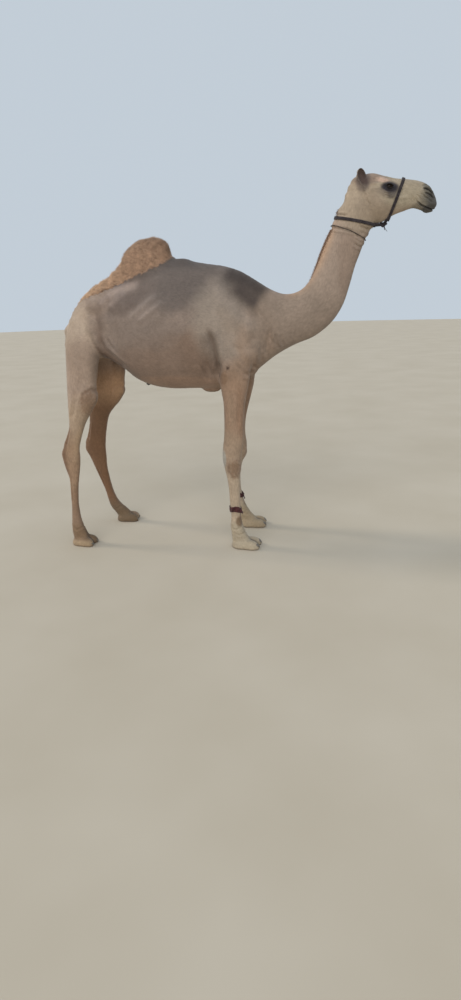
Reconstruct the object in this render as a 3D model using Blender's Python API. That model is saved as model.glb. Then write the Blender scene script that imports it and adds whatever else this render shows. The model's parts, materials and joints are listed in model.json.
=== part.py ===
"""A lean dromedary camel standing still, at life size, with its halter and hobble bands.

Metres, +Z up. The camel faces +X with its left side towards +Y, and its soles lie at z = 0.
The flesh is modelled whole, from lofted tubes and rounded muscles that are remeshed into one
skin, and is then parted into its named nodes by cuts of one gap's width. Eyes, ears, nails,
the breast pad and what the camel wears are pieces of their own, let in with the same gap.
"""
import math

import bmesh
import bpy
import numpy as np
from mathutils import Matrix, Vector
from mathutils.bvhtree import BVHTree
from mathutils.geometry import convex_hull_2d

# ---- driving dimensions ----
GAP = 0.0003            # clear space between neighbouring pieces
VOXEL = 0.009           # grid on which the lofts and muscles melt into one skin
FLESH_TRIANGLES = 3300  # of the whole skin, before it is parted
RING_SIDES = 32         # points round each lofted section
RINGS_BETWEEN = 4       # sections drawn between two stations
SMOOTHING = 6           # passes that soften the whole skin
BODY_SMOOTHING = 30     # more passes, for the joins of legs, neck and hump with the trunk

EYE_RADIUS = 0.021
EYE_AT = (1.384, 0.0750, 2.186)
EAR_AT = (1.238, 0.064, 2.188)
EAR_LENGTH = 0.112
EAR_RADIUS = 0.0270     # of the rolled leaf at its widest
EAR_SKIN = 0.005        # thickness of the leaf
EAR_TURN = 55           # degrees from straight ahead to where its mouth faces
PAD_AT = (0.303, 0.0, 1.046)
PAD_SIZE = (0.068, 0.050, 0.026)
NAIL_SIZE = (0.016, 0.018, 0.010)
CORD_RADIUS = 0.0025
STRAP_SLACK = 0.0018    # between a strap and the flesh under it

# ---- sections ----
# Each station is one section: the two ends of its long side in the XZ plane (x, z, x, z),
# the y of its middle and its half width. Trunk, neck, head, hump and tail run top to
# underside, and legs front to rear.
TRUNK = (
    (-0.672, 1.410, -0.672, 1.320, 0, 0.045),
    (-0.645, 1.485, -0.645, 1.230, 0, 0.105),
    (-0.580, 1.596, -0.580, 1.210, 0, 0.160),
    (-0.500, 1.680, -0.500, 1.240, 0, 0.190),
    (-0.400, 1.728, -0.400, 1.250, 0, 0.205),
    (-0.290, 1.755, -0.290, 1.195, 0, 0.222),
    (-0.190, 1.775, -0.190, 1.112, 0, 0.243),
    (-0.080, 1.805, -0.080, 1.066, 0, 0.262),
    (0.050, 1.850, 0.050, 1.046, 0, 0.272),
    (0.180, 1.846, 0.180, 1.046, 0, 0.266),
    (0.300, 1.825, 0.300, 1.048, 0, 0.248),
    (0.410, 1.808, 0.410, 1.060, 0, 0.222),
    (0.510, 1.775, 0.510, 1.085, 0, 0.195),
    (0.590, 1.730, 0.590, 1.135, 0, 0.160),
    (0.660, 1.685, 0.660, 1.215, 0, 0.120),
)
NECK = (
    (0.500, 1.760, 0.560, 1.120, 0, 0.150),
    (0.610, 1.715, 0.640, 1.180, 0, 0.130),
    (0.700, 1.662, 0.735, 1.250, 0, 0.108),
    (0.790, 1.630, 0.855, 1.315, 0, 0.095),
    (0.872, 1.645, 0.975, 1.363, 0, 0.088),
    (0.932, 1.697, 1.083, 1.448, 0, 0.082),
    (0.973, 1.780, 1.150, 1.550, 0, 0.076),
    (1.004, 1.862, 1.186, 1.660, 0, 0.070),
    (1.034, 1.930, 1.214, 1.765, 0, 0.066),
    (1.064, 1.990, 1.243, 1.845, 0, 0.066),
    (1.085, 2.050, 1.270, 1.920, 0, 0.069),
    (1.115, 2.130, 1.302, 1.978, 0, 0.073),
    (1.158, 2.200, 1.320, 2.010, 0, 0.074),
    (1.215, 2.240, 1.335, 2.050, 0, 0.070),
)
HEAD = (
    (1.180, 2.236, 1.240, 2.050, 0, 0.056),
    (1.228, 2.266, 1.272, 2.018, 0, 0.076),
    (1.290, 2.276, 1.315, 2.002, 0, 0.086),
    (1.350, 2.260, 1.362, 2.006, 0, 0.091),
    (1.415, 2.243, 1.418, 2.038, 0, 0.079),
    (1.480, 2.235, 1.478, 2.058, 0, 0.062),
    (1.540, 2.226, 1.532, 2.072, 0, 0.054),
    (1.588, 2.209, 1.580, 2.056, 0, 0.052),
    (1.624, 2.178, 1.616, 2.046, 0, 0.047),
    (1.647, 2.142, 1.640, 2.052, 0, 0.038),
    (1.661, 2.112, 1.656, 2.072, 0, 0.020),
)
HUMP = (
    (-0.330, 1.785, -0.330, 1.700, 0, 0.050),
    (-0.268, 1.838, -0.268, 1.700, 0, 0.080),
    (-0.218, 1.930, -0.218, 1.690, 0, 0.105),
    (-0.130, 1.985, -0.130, 1.690, 0, 0.125),
    (-0.045, 1.998, -0.045, 1.700, 0, 0.130),
    (0.020, 1.990, 0.020, 1.720, 0, 0.115),
    (0.062, 1.960, 0.062, 1.750, 0, 0.085),
    (0.088, 1.900, 0.088, 1.790, 0, 0.045),
)
TAIL = (
    (-0.545, 1.610, -0.570, 1.550, 0, 0.030),
    (-0.600, 1.585, -0.585, 1.520, 0, 0.033),
    (-0.652, 1.500, -0.618, 1.470, 0, 0.030),
    (-0.692, 1.400, -0.656, 1.385, 0, 0.027),
    (-0.702, 1.270, -0.668, 1.270, 0, 0.025),
    (-0.706, 1.130, -0.672, 1.130, 0, 0.025),
    (-0.712, 1.000, -0.680, 1.000, 0, 0.024),
    (-0.716, 0.900, -0.690, 0.900, 0, 0.018),
    (-0.714, 0.860, -0.702, 0.860, 0, 0.008),
)
# Legs hold the right-hand side's y as positive: the side's sign is put on by the builder.
FORELEG_RIGHT = (
    (0.580, 1.300, 0.400, 1.300, 0.135, 0.060),
    (0.584, 1.170, 0.368, 1.170, 0.152, 0.070),
    (0.570, 1.070, 0.384, 1.070, 0.165, 0.068),
    (0.550, 0.975, 0.401, 0.975, 0.173, 0.062),
    (0.541, 0.880, 0.404, 0.880, 0.180, 0.056),
    (0.538, 0.770, 0.402, 0.780, 0.188, 0.051),
    (0.532, 0.700, 0.392, 0.690, 0.194, 0.051),
    (0.522, 0.630, 0.388, 0.620, 0.199, 0.054),
    (0.517, 0.565, 0.398, 0.555, 0.201, 0.048),
    (0.509, 0.490, 0.412, 0.490, 0.202, 0.040),
    (0.506, 0.400, 0.424, 0.400, 0.203, 0.035),
    (0.508, 0.290, 0.429, 0.290, 0.204, 0.034),
    (0.511, 0.210, 0.435, 0.210, 0.205, 0.038),
    (0.520, 0.155, 0.428, 0.155, 0.206, 0.047),
    (0.540, 0.100, 0.434, 0.100, 0.207, 0.048),
    (0.565, 0.060, 0.440, 0.050, 0.208, 0.042),
)
FORELEG_LEFT = (
    (0.580, 1.300, 0.400, 1.300, 0.135, 0.060),
    (0.582, 1.170, 0.366, 1.170, 0.152, 0.070),
    (0.572, 1.070, 0.378, 1.070, 0.165, 0.068),
    (0.548, 0.975, 0.388, 0.975, 0.173, 0.062),
    (0.521, 0.880, 0.384, 0.880, 0.181, 0.056),
    (0.504, 0.795, 0.370, 0.790, 0.186, 0.051),
    (0.499, 0.710, 0.358, 0.700, 0.191, 0.051),
    (0.508, 0.625, 0.366, 0.620, 0.196, 0.054),
    (0.502, 0.555, 0.380, 0.550, 0.200, 0.048),
    (0.477, 0.500, 0.380, 0.490, 0.201, 0.040),
    (0.457, 0.410, 0.376, 0.400, 0.203, 0.035),
    (0.456, 0.310, 0.378, 0.300, 0.204, 0.034),
    (0.468, 0.225, 0.394, 0.215, 0.205, 0.038),
    (0.488, 0.165, 0.400, 0.150, 0.206, 0.047),
    (0.522, 0.105, 0.420, 0.095, 0.207, 0.048),
    (0.560, 0.065, 0.436, 0.050, 0.207, 0.042),
)
HINDLEG_RIGHT = (
    (-0.420, 1.560, -0.600, 1.500, 0.105, 0.060),
    (-0.405, 1.420, -0.632, 1.390, 0.120, 0.082),
    (-0.408, 1.310, -0.642, 1.270, 0.134, 0.088),
    (-0.425, 1.200, -0.648, 1.150, 0.146, 0.084),
    (-0.440, 1.100, -0.652, 1.050, 0.155, 0.076),
    (-0.441, 1.015, -0.655, 0.950, 0.162, 0.068),
    (-0.483, 0.925, -0.655, 0.880, 0.168, 0.059),
    (-0.535, 0.840, -0.660, 0.815, 0.176, 0.050),
    (-0.572, 0.740, -0.682, 0.750, 0.186, 0.043),
    (-0.590, 0.670, -0.708, 0.685, 0.193, 0.040),
    (-0.588, 0.610, -0.722, 0.622, 0.200, 0.041),
    (-0.594, 0.540, -0.704, 0.540, 0.208, 0.038),
    (-0.606, 0.470, -0.680, 0.465, 0.216, 0.033),
    (-0.616, 0.395, -0.677, 0.395, 0.224, 0.030),
    (-0.621, 0.290, -0.677, 0.290, 0.235, 0.029),
    (-0.614, 0.200, -0.684, 0.195, 0.241, 0.033),
    (-0.600, 0.140, -0.688, 0.130, 0.245, 0.040),
    (-0.582, 0.100, -0.688, 0.085, 0.247, 0.042),
    (-0.565, 0.060, -0.680, 0.050, 0.250, 0.036),
)
HINDLEG_LEFT = (
    (-0.410, 1.560, -0.600, 1.500, 0.105, 0.060),
    (-0.370, 1.420, -0.632, 1.390, 0.120, 0.082),
    (-0.345, 1.290, -0.642, 1.270, 0.136, 0.088),
    (-0.332, 1.180, -0.650, 1.150, 0.148, 0.084),
    (-0.348, 1.090, -0.652, 1.040, 0.156, 0.076),
    (-0.360, 1.005, -0.648, 0.930, 0.163, 0.068),
    (-0.428, 0.910, -0.645, 0.850, 0.170, 0.059),
    (-0.492, 0.835, -0.656, 0.775, 0.178, 0.050),
    (-0.524, 0.735, -0.682, 0.690, 0.188, 0.042),
    (-0.541, 0.660, -0.708, 0.620, 0.196, 0.040),
    (-0.552, 0.590, -0.716, 0.570, 0.203, 0.041),
    (-0.556, 0.510, -0.692, 0.515, 0.211, 0.038),
    (-0.560, 0.430, -0.664, 0.425, 0.221, 0.034),
    (-0.553, 0.340, -0.634, 0.335, 0.231, 0.031),
    (-0.540, 0.255, -0.607, 0.245, 0.238, 0.030),
    (-0.520, 0.190, -0.592, 0.170, 0.242, 0.034),
    (-0.490, 0.138, -0.576, 0.112, 0.245, 0.040),
    (-0.450, 0.102, -0.550, 0.075, 0.247, 0.042),
    (-0.415, 0.065, -0.530, 0.045, 0.250, 0.036),
)
# Half widths grow from these sections' squareness: 2 is an ellipse, more is boxier.
SHAPES = {
    "trunk": (0.46, 1.80, 2.30),
    "neck": (0.50, 2.00, 2.00),
    "head": (0.56, 2.30, 1.90),
    "hump": (0.12, 2.20, 2.00),
    "tail": (0.50, 2.00, 2.00),
    "leg": (0.50, 2.20, 2.00),
}

# ---- muscles, bones and hollows, on both sides ----
# (x, y, z), reach (x, y, z), lean of the reach's long axis in the XZ plane in degrees, height
SWELLS = (
    ((0.430, 0.170, 1.590), (0.090, 0.150, 0.230), -20, 0.016),   # shoulder blade
    ((0.450, 0.200, 1.260), (0.150, 0.120, 0.170), 25, 0.020),    # upper arm
    ((0.600, 0.130, 1.270), (0.080, 0.100, 0.110), 0, 0.018),     # point of the shoulder
    ((0.570, 0.060, 1.130), (0.090, 0.080, 0.110), 0, 0.012),     # breast muscle
    ((0.320, 0.220, 1.180), (0.050, 0.120, 0.150), 8, -0.014),    # behind the elbow
    ((0.550, 0.140, 1.500), (0.070, 0.120, 0.160), 0, -0.014),    # before the shoulder
    ((-0.400, 0.190, 1.600), (0.080, 0.100, 0.070), -20, 0.026),  # hip bone
    ((-0.330, 0.220, 1.430), (0.100, 0.120, 0.190), 0, -0.026),   # flank hollow
    ((-0.470, 0.170, 1.500), (0.090, 0.100, 0.090), 30, -0.010),  # below the hip
    ((-0.540, 0.190, 1.270), (0.110, 0.120, 0.220), -12, 0.016),  # thigh
    ((-0.630, 0.090, 1.440), (0.060, 0.070, 0.060), 0, 0.016),    # pin bone
    ((-0.440, 0.180, 1.000), (0.050, 0.090, 0.070), 0, 0.008),    # stifle
    ((1.372, 0.090, 2.224), (0.060, 0.050, 0.026), 12, 0.011),    # brow
    ((1.395, 0.090, 2.148), (0.080, 0.050, 0.026), 10, 0.006),    # cheek bone
    ((1.330, 0.085, 2.090), (0.070, 0.060, 0.070), -25, 0.008),   # cheek
    ((1.450, 0.075, 2.150), (0.060, 0.040, 0.050), 10, -0.006),   # before the cheek
    ((1.600, 0.045, 2.160), (0.045, 0.035, 0.040), 35, 0.008),    # nostril wing
    ((1.625, 0.030, 2.100), (0.040, 0.035, 0.030), 20, 0.007),    # upper lip
    ((1.530, 0.050, 2.110), (0.030, 0.030, 0.020), 0, -0.004),    # corner of the mouth
)
# ---- both toes of a foot: its middle on the sole, its heading and its sizes ----
FEET = (
    (0.536, -0.208, -4, 1.00),
    (0.536, 0.207, 4, 1.00),
    (-0.606, -0.250, -6, 0.86),
    (-0.444, 0.250, 8, 0.84),
)


def clear_scene():
    for thing in list(bpy.data.objects):
        bpy.data.objects.remove(thing, do_unlink=True)


# ---- building blocks ----
def between_stations(stations, steps):
    """Sections along a smooth curve through the stations, both ends included."""
    points = np.array(stations, float)
    padded = np.vstack([2 * points[0] - points[1], points, 2 * points[-1] - points[-2]])
    sections = []
    for i in range(len(points) - 1):
        before, start, end, after = padded[i:i + 4]
        for step in range(steps):
            t = step / steps
            linear = (end - before) * t
            square = (2 * before - 5 * start + 4 * end - after) * t ** 2
            cubic = (3 * start - before - 3 * end + after) * t ** 3
            sections.append(0.5 * (2 * start + linear + square + cubic))
    sections.append(points[-1])
    return sections


def loft(bm, stations, shape, side=1, sides=RING_SIDES, steps=RINGS_BETWEEN):
    """A closed tube through the sections, squared as SHAPES says."""
    middle, square_first, square_last = SHAPES[shape]
    rings = []
    for first_x, first_z, last_x, last_z, y, half_width in between_stations(stations, steps):
        first = Vector((first_x, side * y, first_z))
        last = Vector((last_x, side * y, last_z))
        widest = last.lerp(first, middle)
        ring = []
        for k in range(sides):
            turn = 2 * math.pi * k / sides
            along, across = math.cos(turn), math.sin(turn)
            square = square_first if along > 0 else square_last
            end = first if along > 0 else last
            point = widest + (end - widest) * abs(along) ** (2 / square)
            point.y += half_width * math.copysign(abs(across) ** (2 / square), across)
            ring.append(bm.verts.new(point))
        rings.append(ring)
    for ring, following in zip(rings, rings[1:]):
        for k in range(sides):
            after = (k + 1) % sides
            bm.faces.new((ring[k], ring[after], following[after], following[k]))
    bm.faces.new(rings[0])
    bm.faces.new(rings[-1])


def blob(bm, centre, half_sizes, lean=0.0, heading=0.0, segments=24):
    """An ellipsoid, leaning in the XZ plane and turned about Z, both in degrees."""
    place = (Matrix.Translation(centre)
             @ Matrix.Rotation(math.radians(heading), 4, "Z")
             @ Matrix.Rotation(math.radians(lean), 4, "Y")
             @ Matrix.Diagonal((*half_sizes, 1)))
    bmesh.ops.create_uvsphere(bm, u_segments=segments, v_segments=segments * 2 // 3, radius=1,
                              matrix=place)


def material(name, colour, roughness, metallic=0.0):
    made = bpy.data.materials.new(name)
    made.use_nodes = True
    shader = made.node_tree.nodes["Principled BSDF"]
    shader.inputs["Base Color"].default_value = (*colour, 1)
    shader.inputs["Roughness"].default_value = roughness
    shader.inputs["Metallic"].default_value = metallic
    return made


def mesh_object(name, bm):
    """A new object from the bmesh, in triangles that face outwards."""
    bmesh.ops.recalc_face_normals(bm, faces=bm.faces)
    bmesh.ops.triangulate(bm, faces=bm.faces)
    mesh = bpy.data.meshes.new(name)
    bm.to_mesh(mesh)
    bm.free()
    made = bpy.data.objects.new(name, mesh)
    bpy.context.scene.collection.objects.link(made)
    return made


def settle(thing):
    """Replaces an object's mesh by its modifiers' result."""
    bpy.context.view_layer.update()
    evaluated = thing.evaluated_get(bpy.context.evaluated_depsgraph_get())
    mesh = bpy.data.meshes.new_from_object(evaluated)
    thing.modifiers.clear()
    thing.data = mesh
    return thing


def boolean(thing, operation, other):
    step = thing.modifiers.new(operation, "BOOLEAN")
    step.operation = operation
    step.solver = "EXACT"
    step.object = other
    return settle(thing)


def largest_piece(thing):
    """Keeps the biggest of the mesh's separate bodies."""
    bm = bmesh.new()
    bm.from_mesh(thing.data)
    unseen = set(bm.verts)
    bodies = []
    while unseen:
        front = [unseen.pop()]
        body = list(front)
        while front:
            for edge in front.pop().link_edges:
                for vert in edge.verts:
                    if vert in unseen:
                        unseen.discard(vert)
                        front.append(vert)
                        body.append(vert)
        bodies.append(body)
    bodies.sort(key=len)
    for body in bodies[:-1]:
        bmesh.ops.delete(bm, geom=body, context="VERTS")
    bm.to_mesh(thing.data)
    bm.free()
    return thing


def copied(thing, name):
    made = thing.copy()
    made.data = thing.data.copy()
    made.name = name
    bpy.context.scene.collection.objects.link(made)
    return made


def grown(thing, by):
    """A copy of a small closed piece, swollen along its normals."""
    made = copied(thing, thing.name + "_room")
    bm = bmesh.new()
    bm.from_mesh(made.data)
    bm.normal_update()
    for vert in bm.verts:
        vert.co += vert.normal * (by * min(vert.calc_shell_factor(), 3.0))
    bm.to_mesh(made.data)
    bm.free()
    return made


def cell(outline, low_y, high_y, extra=0.0):
    """A prism over a convex XZ outline, with every side moved out by extra."""
    corners = [Vector(corner) for corner in outline]
    middle = sum(corners, Vector((0, 0))) / len(corners)
    moved = []
    for k, corner in enumerate(corners):
        directions = []
        for a, b in ((corners[k - 1], corner), (corner, corners[(k + 1) % len(corners)])):
            normal = Vector((b.y - a.y, a.x - b.x)).normalized()
            directions.append(normal if normal.dot(a - middle) > 0 else -normal)
        both = directions[0] + directions[1]
        moved.append(corner + both * (extra / (1 + directions[0].dot(directions[1]))))
    bm = bmesh.new()
    near = [bm.verts.new((x, low_y - extra, z)) for x, z in moved]
    far = [bm.verts.new((x, high_y + extra, z)) for x, z in moved]
    bm.faces.new(near)
    bm.faces.new(far)
    for k in range(len(near)):
        after = (k + 1) % len(near)
        bm.faces.new((near[k], near[after], far[after], far[k]))
    return mesh_object("cell", bm)


def part_off(source, name, outline, low_y=-1.0, high_y=1.0):
    """Takes the piece inside the cell out of the source, one gap clear of it."""
    tight = cell(outline, low_y, high_y)
    roomy = cell(outline, low_y, high_y, GAP)
    piece = copied(source, name)
    boolean(piece, "INTERSECT", tight)
    boolean(source, "DIFFERENCE", roomy)
    for cutter in (tight, roomy):
        bpy.data.objects.remove(cutter, do_unlink=True)
    largest_piece(piece)
    largest_piece(source)
    return piece


def seat_on(source, piece):
    """Trims a piece's root to the source's surface, one gap clear of it."""
    room = grown(source, GAP)
    boolean(piece, "DIFFERENCE", room)
    bpy.data.objects.remove(room, do_unlink=True)
    largest_piece(piece)


def let_in(source, piece):
    """Sinks a piece into the source, one gap clear of it."""
    room = grown(piece, GAP)
    boolean(source, "DIFFERENCE", room)
    bpy.data.objects.remove(room, do_unlink=True)
    largest_piece(source)


# ---- the flesh ----
def foot(bm, x, y, heading, size):
    """The broad pad and its two toes, reaching a little below the floor that trims them."""
    turn = Matrix.Rotation(math.radians(heading), 3, "Z")
    blob(bm, Vector((x, y, 0.012)) + turn @ Vector((-0.022, 0, 0)) * size,
         (0.080 * size, 0.074 * size, 0.046), heading=heading)
    for toe in (-1, 1):
        middle = Vector((x, y, 0.016)) + turn @ Vector((0.036, toe * 0.037, 0)) * size
        blob(bm, middle, (0.066 * size, 0.041 * size, 0.044), 6, heading + toe * 7)


def flesh_shapes():
    bm = bmesh.new()
    for stations, shape in ((TRUNK, "trunk"), (NECK, "neck"), (HEAD, "head"), (HUMP, "hump")):
        loft(bm, stations, shape)
    for stations, side in ((FORELEG_RIGHT, -1), (FORELEG_LEFT, 1),
                           (HINDLEG_RIGHT, -1), (HINDLEG_LEFT, 1)):
        loft(bm, stations, "leg", side)
    for x, y, heading, size in FEET:
        foot(bm, x, y, heading, size)
    return bm


def soften_joins(thing):
    """Melts legs, neck and hump into the trunk, where the skin is wide enough to take it."""
    group = thing.vertex_groups.new(name="body")
    for vert in thing.data.vertices:
        x, _, z = vert.co
        weight = min((0.95 - x) / 0.2, (z - 0.95) / 0.2, 1.0)
        if weight > 0:
            group.add([vert.index], weight, "REPLACE")
    soften = thing.modifiers.new("soften joins", "SMOOTH")
    soften.factor = 0.5
    soften.iterations = BODY_SMOOTHING
    soften.vertex_group = group.name
    settle(thing)


def swell(thing):
    """Moves the skin out or in round each place in SWELLS, along its own normals."""
    mesh = thing.data
    count = len(mesh.vertices)
    points = np.empty(count * 3, np.float32)
    normals = np.empty(count * 3, np.float32)
    mesh.vertices.foreach_get("co", points)
    mesh.vertices.foreach_get("normal", normals)
    points, normals = points.reshape(-1, 3), normals.reshape(-1, 3)
    moved = np.zeros(count)
    for centre, reach, lean, height in SWELLS:
        c, s = math.cos(math.radians(lean)), math.sin(math.radians(lean))
        for side in (-1, 1):
            off = points - np.array(centre) * (1, side, 1)
            along = c * off[:, 0] - s * off[:, 2]
            up = s * off[:, 0] + c * off[:, 2]
            near = (along / reach[0]) ** 2 + (off[:, 1] / reach[1]) ** 2 + (up / reach[2]) ** 2
            moved += height * np.clip(1 - near, 0, None) ** 2
    points += normals * moved[:, None]
    mesh.vertices.foreach_set("co", points.ravel())
    mesh.update()


def flesh():
    made = mesh_object("trunk", flesh_shapes())
    remesh = made.modifiers.new("melt", "REMESH")
    remesh.mode = "VOXEL"
    remesh.voxel_size = VOXEL
    soften = made.modifiers.new("soften", "SMOOTH")
    soften.factor = 0.5
    soften.iterations = SMOOTHING
    settle(made)
    soften_joins(made)
    swell(made)
    thin = made.modifiers.new("thin out", "DECIMATE")
    thin.ratio = FLESH_TRIANGLES / (2 * len(made.data.polygons))
    settle(made)
    floor = cell(((-1, -0.2), (2, -0.2), (2, 0), (-1, 0)), -1, 1)
    boolean(made, "DIFFERENCE", floor)
    bpy.data.objects.remove(floor, do_unlink=True)
    return made


# ---- pieces let into the flesh ----
def ball(name, centre, half_sizes, lean=0.0, heading=0.0, segments=8):
    bm = bmesh.new()
    blob(bm, centre, half_sizes, lean, heading, segments)
    return mesh_object(name, bm)


def ear(name, side):
    """A leaf rolled into an open trumpet, upright, its mouth turned forwards and outwards."""
    bm = bmesh.new()
    levels, across = 7, 6
    rings = []
    for level in range(levels):
        t = level / (levels - 1)
        radius = EAR_RADIUS * (0.55 + 1.15 * t - 1.45 * t * t)
        half_roll = math.radians(150 - 75 * min(1, 1.8 * t))
        centre = Vector((-0.012 * t * t, side * 0.014 * t, EAR_LENGTH * (t - 0.14)))
        skin = EAR_SKIN * (1 - 0.45 * t)
        ring = []
        for inner in (False, True):
            reach = radius - skin if inner else radius
            for k in range(across + 1):
                turn = half_roll * (2 * k / across - 1) * (-1 if inner else 1)
                facing = turn + math.radians(side * EAR_TURN)
                out = Vector((-math.cos(facing), -math.sin(facing), 0))
                ring.append(bm.verts.new(centre + reach * out))
        rings.append(ring)
    count = len(rings[0])
    for ring, following in zip(rings, rings[1:]):
        for k in range(count):
            after = (k + 1) % count
            bm.faces.new((ring[k], ring[after], following[after], following[k]))
    for ring in (rings[0], rings[-1]):
        for k in range(across):
            bm.faces.new((ring[k], ring[k + 1], ring[count - 2 - k], ring[count - 1 - k]))
    x, y, z = EAR_AT
    bmesh.ops.translate(bm, vec=(x, side * y, z), verts=bm.verts)
    return mesh_object(name, bm)


def tail():
    bm = bmesh.new()
    loft(bm, TAIL, "tail", sides=10, steps=1)
    return mesh_object("tail", bm)


def nails(x, y, heading, size):
    """The middles of a foot's two nails, at the tips of its toes."""
    turn = Matrix.Rotation(math.radians(heading), 3, "Z")
    return [Vector((x, y, 0.033 * size)) + turn @ Vector((0.087, toe * 0.042, 0)) * size
            for toe in (-1, 1)]


# ---- what the camel wears ----
def taut_loop(points, sides, slack):
    """The tightest loop round the 2-D points, in the given number of sides, outside them all."""
    hull = [Vector(points[k]) for k in convex_hull_2d(points)]
    lengths = [0.0]
    for k, point in enumerate(hull):
        lengths.append(lengths[-1] + (hull[(k + 1) % len(hull)] - point).length)
    fine = 4 * sides
    dense = []
    for k in range(fine):
        want = lengths[-1] * k / fine
        step = max(i for i, length in enumerate(lengths[:-1]) if length <= want)
        part = (want - lengths[step]) / (lengths[step + 1] - lengths[step])
        dense.append(hull[step].lerp(hull[(step + 1) % len(hull)], part))
    middle = sum(hull, Vector((0, 0))) / len(hull)
    loop = []
    for k in range(0, fine, 4):
        here, before, after = dense[k], dense[k - 4], dense[(k + 4) % fine]
        chords = ((before, here, dense[k - 2]), (here, after, dense[(k + 2) % fine]))
        bulge = max((top - (start + end) / 2).length for start, end, top in chords)
        out = Vector((after.y - before.y, before.x - after.x)).normalized()
        if out.dot(here - middle) < 0:
            out.negate()
        loop.append((here + out * (slack + bulge), out))
    return loop


def band(name, skin, centre, normal, width, thickness, sides, reach=0.3):
    """A flat strap round the flesh, in the plane through the centre, clear of the skin."""
    centre, normal = Vector(centre), Vector(normal).normalized()
    across = Vector((0, 1, 0))
    along = across.cross(normal).normalized()
    points = []
    for k in range(6 * sides):
        turn = 2 * math.pi * k / (6 * sides)
        out = math.cos(turn) * along + math.sin(turn) * across
        for step in (-0.5, -0.25, 0, 0.25, 0.5):
            start = centre + normal * (step * width) + out * reach
            hit = skin.ray_cast(start, -out, reach)[0]
            if hit:
                flat = hit - centre
                points.append((flat.dot(along), flat.dot(across)))
    bm = bmesh.new()
    rings = []
    for inner, out in taut_loop(points, sides, STRAP_SLACK):
        ring = []
        for rise, side in ((0, -0.5), (1, -0.5), (1, 0.5), (0, 0.5)):
            flat = inner + out * (rise * thickness)
            ring.append(bm.verts.new(centre + along * flat.x + across * flat.y + normal * (side * width)))
        rings.append(ring)
    for k in range(sides):
        ring, following = rings[k], rings[(k + 1) % sides]
        for c in range(4):
            after = (c + 1) % 4
            bm.faces.new((ring[c], ring[after], following[after], following[c]))
    return mesh_object(name, bm)


# ---- names and places of the cuts ----
# name, XZ outline of its cell, lowest and highest y
def parted(body):
    """Parts the flesh: what is left at the end is the trunk."""
    pieces = [part_off(body, "head", ((1.08, 2.27), (1.40, 1.925), (1.75, 1.925), (1.75, 2.35),
                                      (1.08, 2.35)))]
    pieces.append(part_off(pieces[0], "jaw", ((1.537, 2.114), (1.70, 2.047), (1.70, 1.95),
                                              (1.36, 1.95), (1.325, 2.040))))
    pieces.append(part_off(body, "neck_upper", ((0.939, 1.940), (1.252, 1.585), (1.60, 1.585),
                                                (1.60, 2.35), (0.939, 2.35))))
    pieces.append(part_off(body, "neck_lower", ((0.72, 0.90), (1.60, 0.90), (1.60, 2.30),
                                                (0.72, 2.30))))
    pieces.append(part_off(body, "hump", ((-0.345, 1.790), (0.112, 1.868), (0.112, 2.10),
                                          (-0.345, 2.10))))
    for side, word, stifle, hock, knee in ((-1, "right", -0.375, 0.560, 0.615),
                                           (1, "left", -0.318, 0.515, 0.600)):
        near_y, far_y = sorted((side * 0.055, side * 0.60))
        for name, low_x, high_x, low_z, high_z in (
            ("foreleg_" + word + "_foot", 0.30, 0.80, -0.10, 0.140),
            ("foreleg_" + word + "_cannon", 0.30, 0.80, 0.140, knee),
            ("foreleg_" + word + "_forearm", 0.30, 0.80, knee, 1.000),
            ("hindleg_" + word + "_foot", -0.80, -0.30, -0.10, 0.125),
            ("hindleg_" + word + "_cannon", -0.80, -0.30, 0.125, hock),
            ("hindleg_" + word + "_shank", -0.80, -0.30, hock, 0.905),
            ("hindleg_" + word + "_thigh", -0.80, stifle, 0.905, 1.385),
        ):
            box = ((low_x, low_z), (high_x, low_z), (high_x, high_z), (low_x, high_z))
            pieces.append(part_off(body, name, box, near_y, far_y))
    return {piece.name: piece for piece in pieces + [body]}


# ---- colours ----
COAT = {
    "head": (0.262, 0.196, 0.150), "jaw": (0.230, 0.176, 0.135),
    "neck_upper": (0.270, 0.200, 0.155), "neck_lower": (0.262, 0.196, 0.150),
    "trunk": (0.225, 0.170, 0.130), "hump": (0.200, 0.115, 0.062),
    "tail": (0.300, 0.205, 0.120), "forearm": (0.300, 0.225, 0.160),
    "cannon": (0.400, 0.320, 0.240), "foot": (0.340, 0.265, 0.190),
    "thigh": (0.290, 0.205, 0.150), "shank": (0.255, 0.175, 0.110),
    "ear": (0.175, 0.130, 0.115),
}


def coat_colour(name):
    for part in (name, name.split("_")[-1], name.split("_")[0]):
        if part in COAT:
            return COAT[part]
    return COAT["trunk"]


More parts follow.
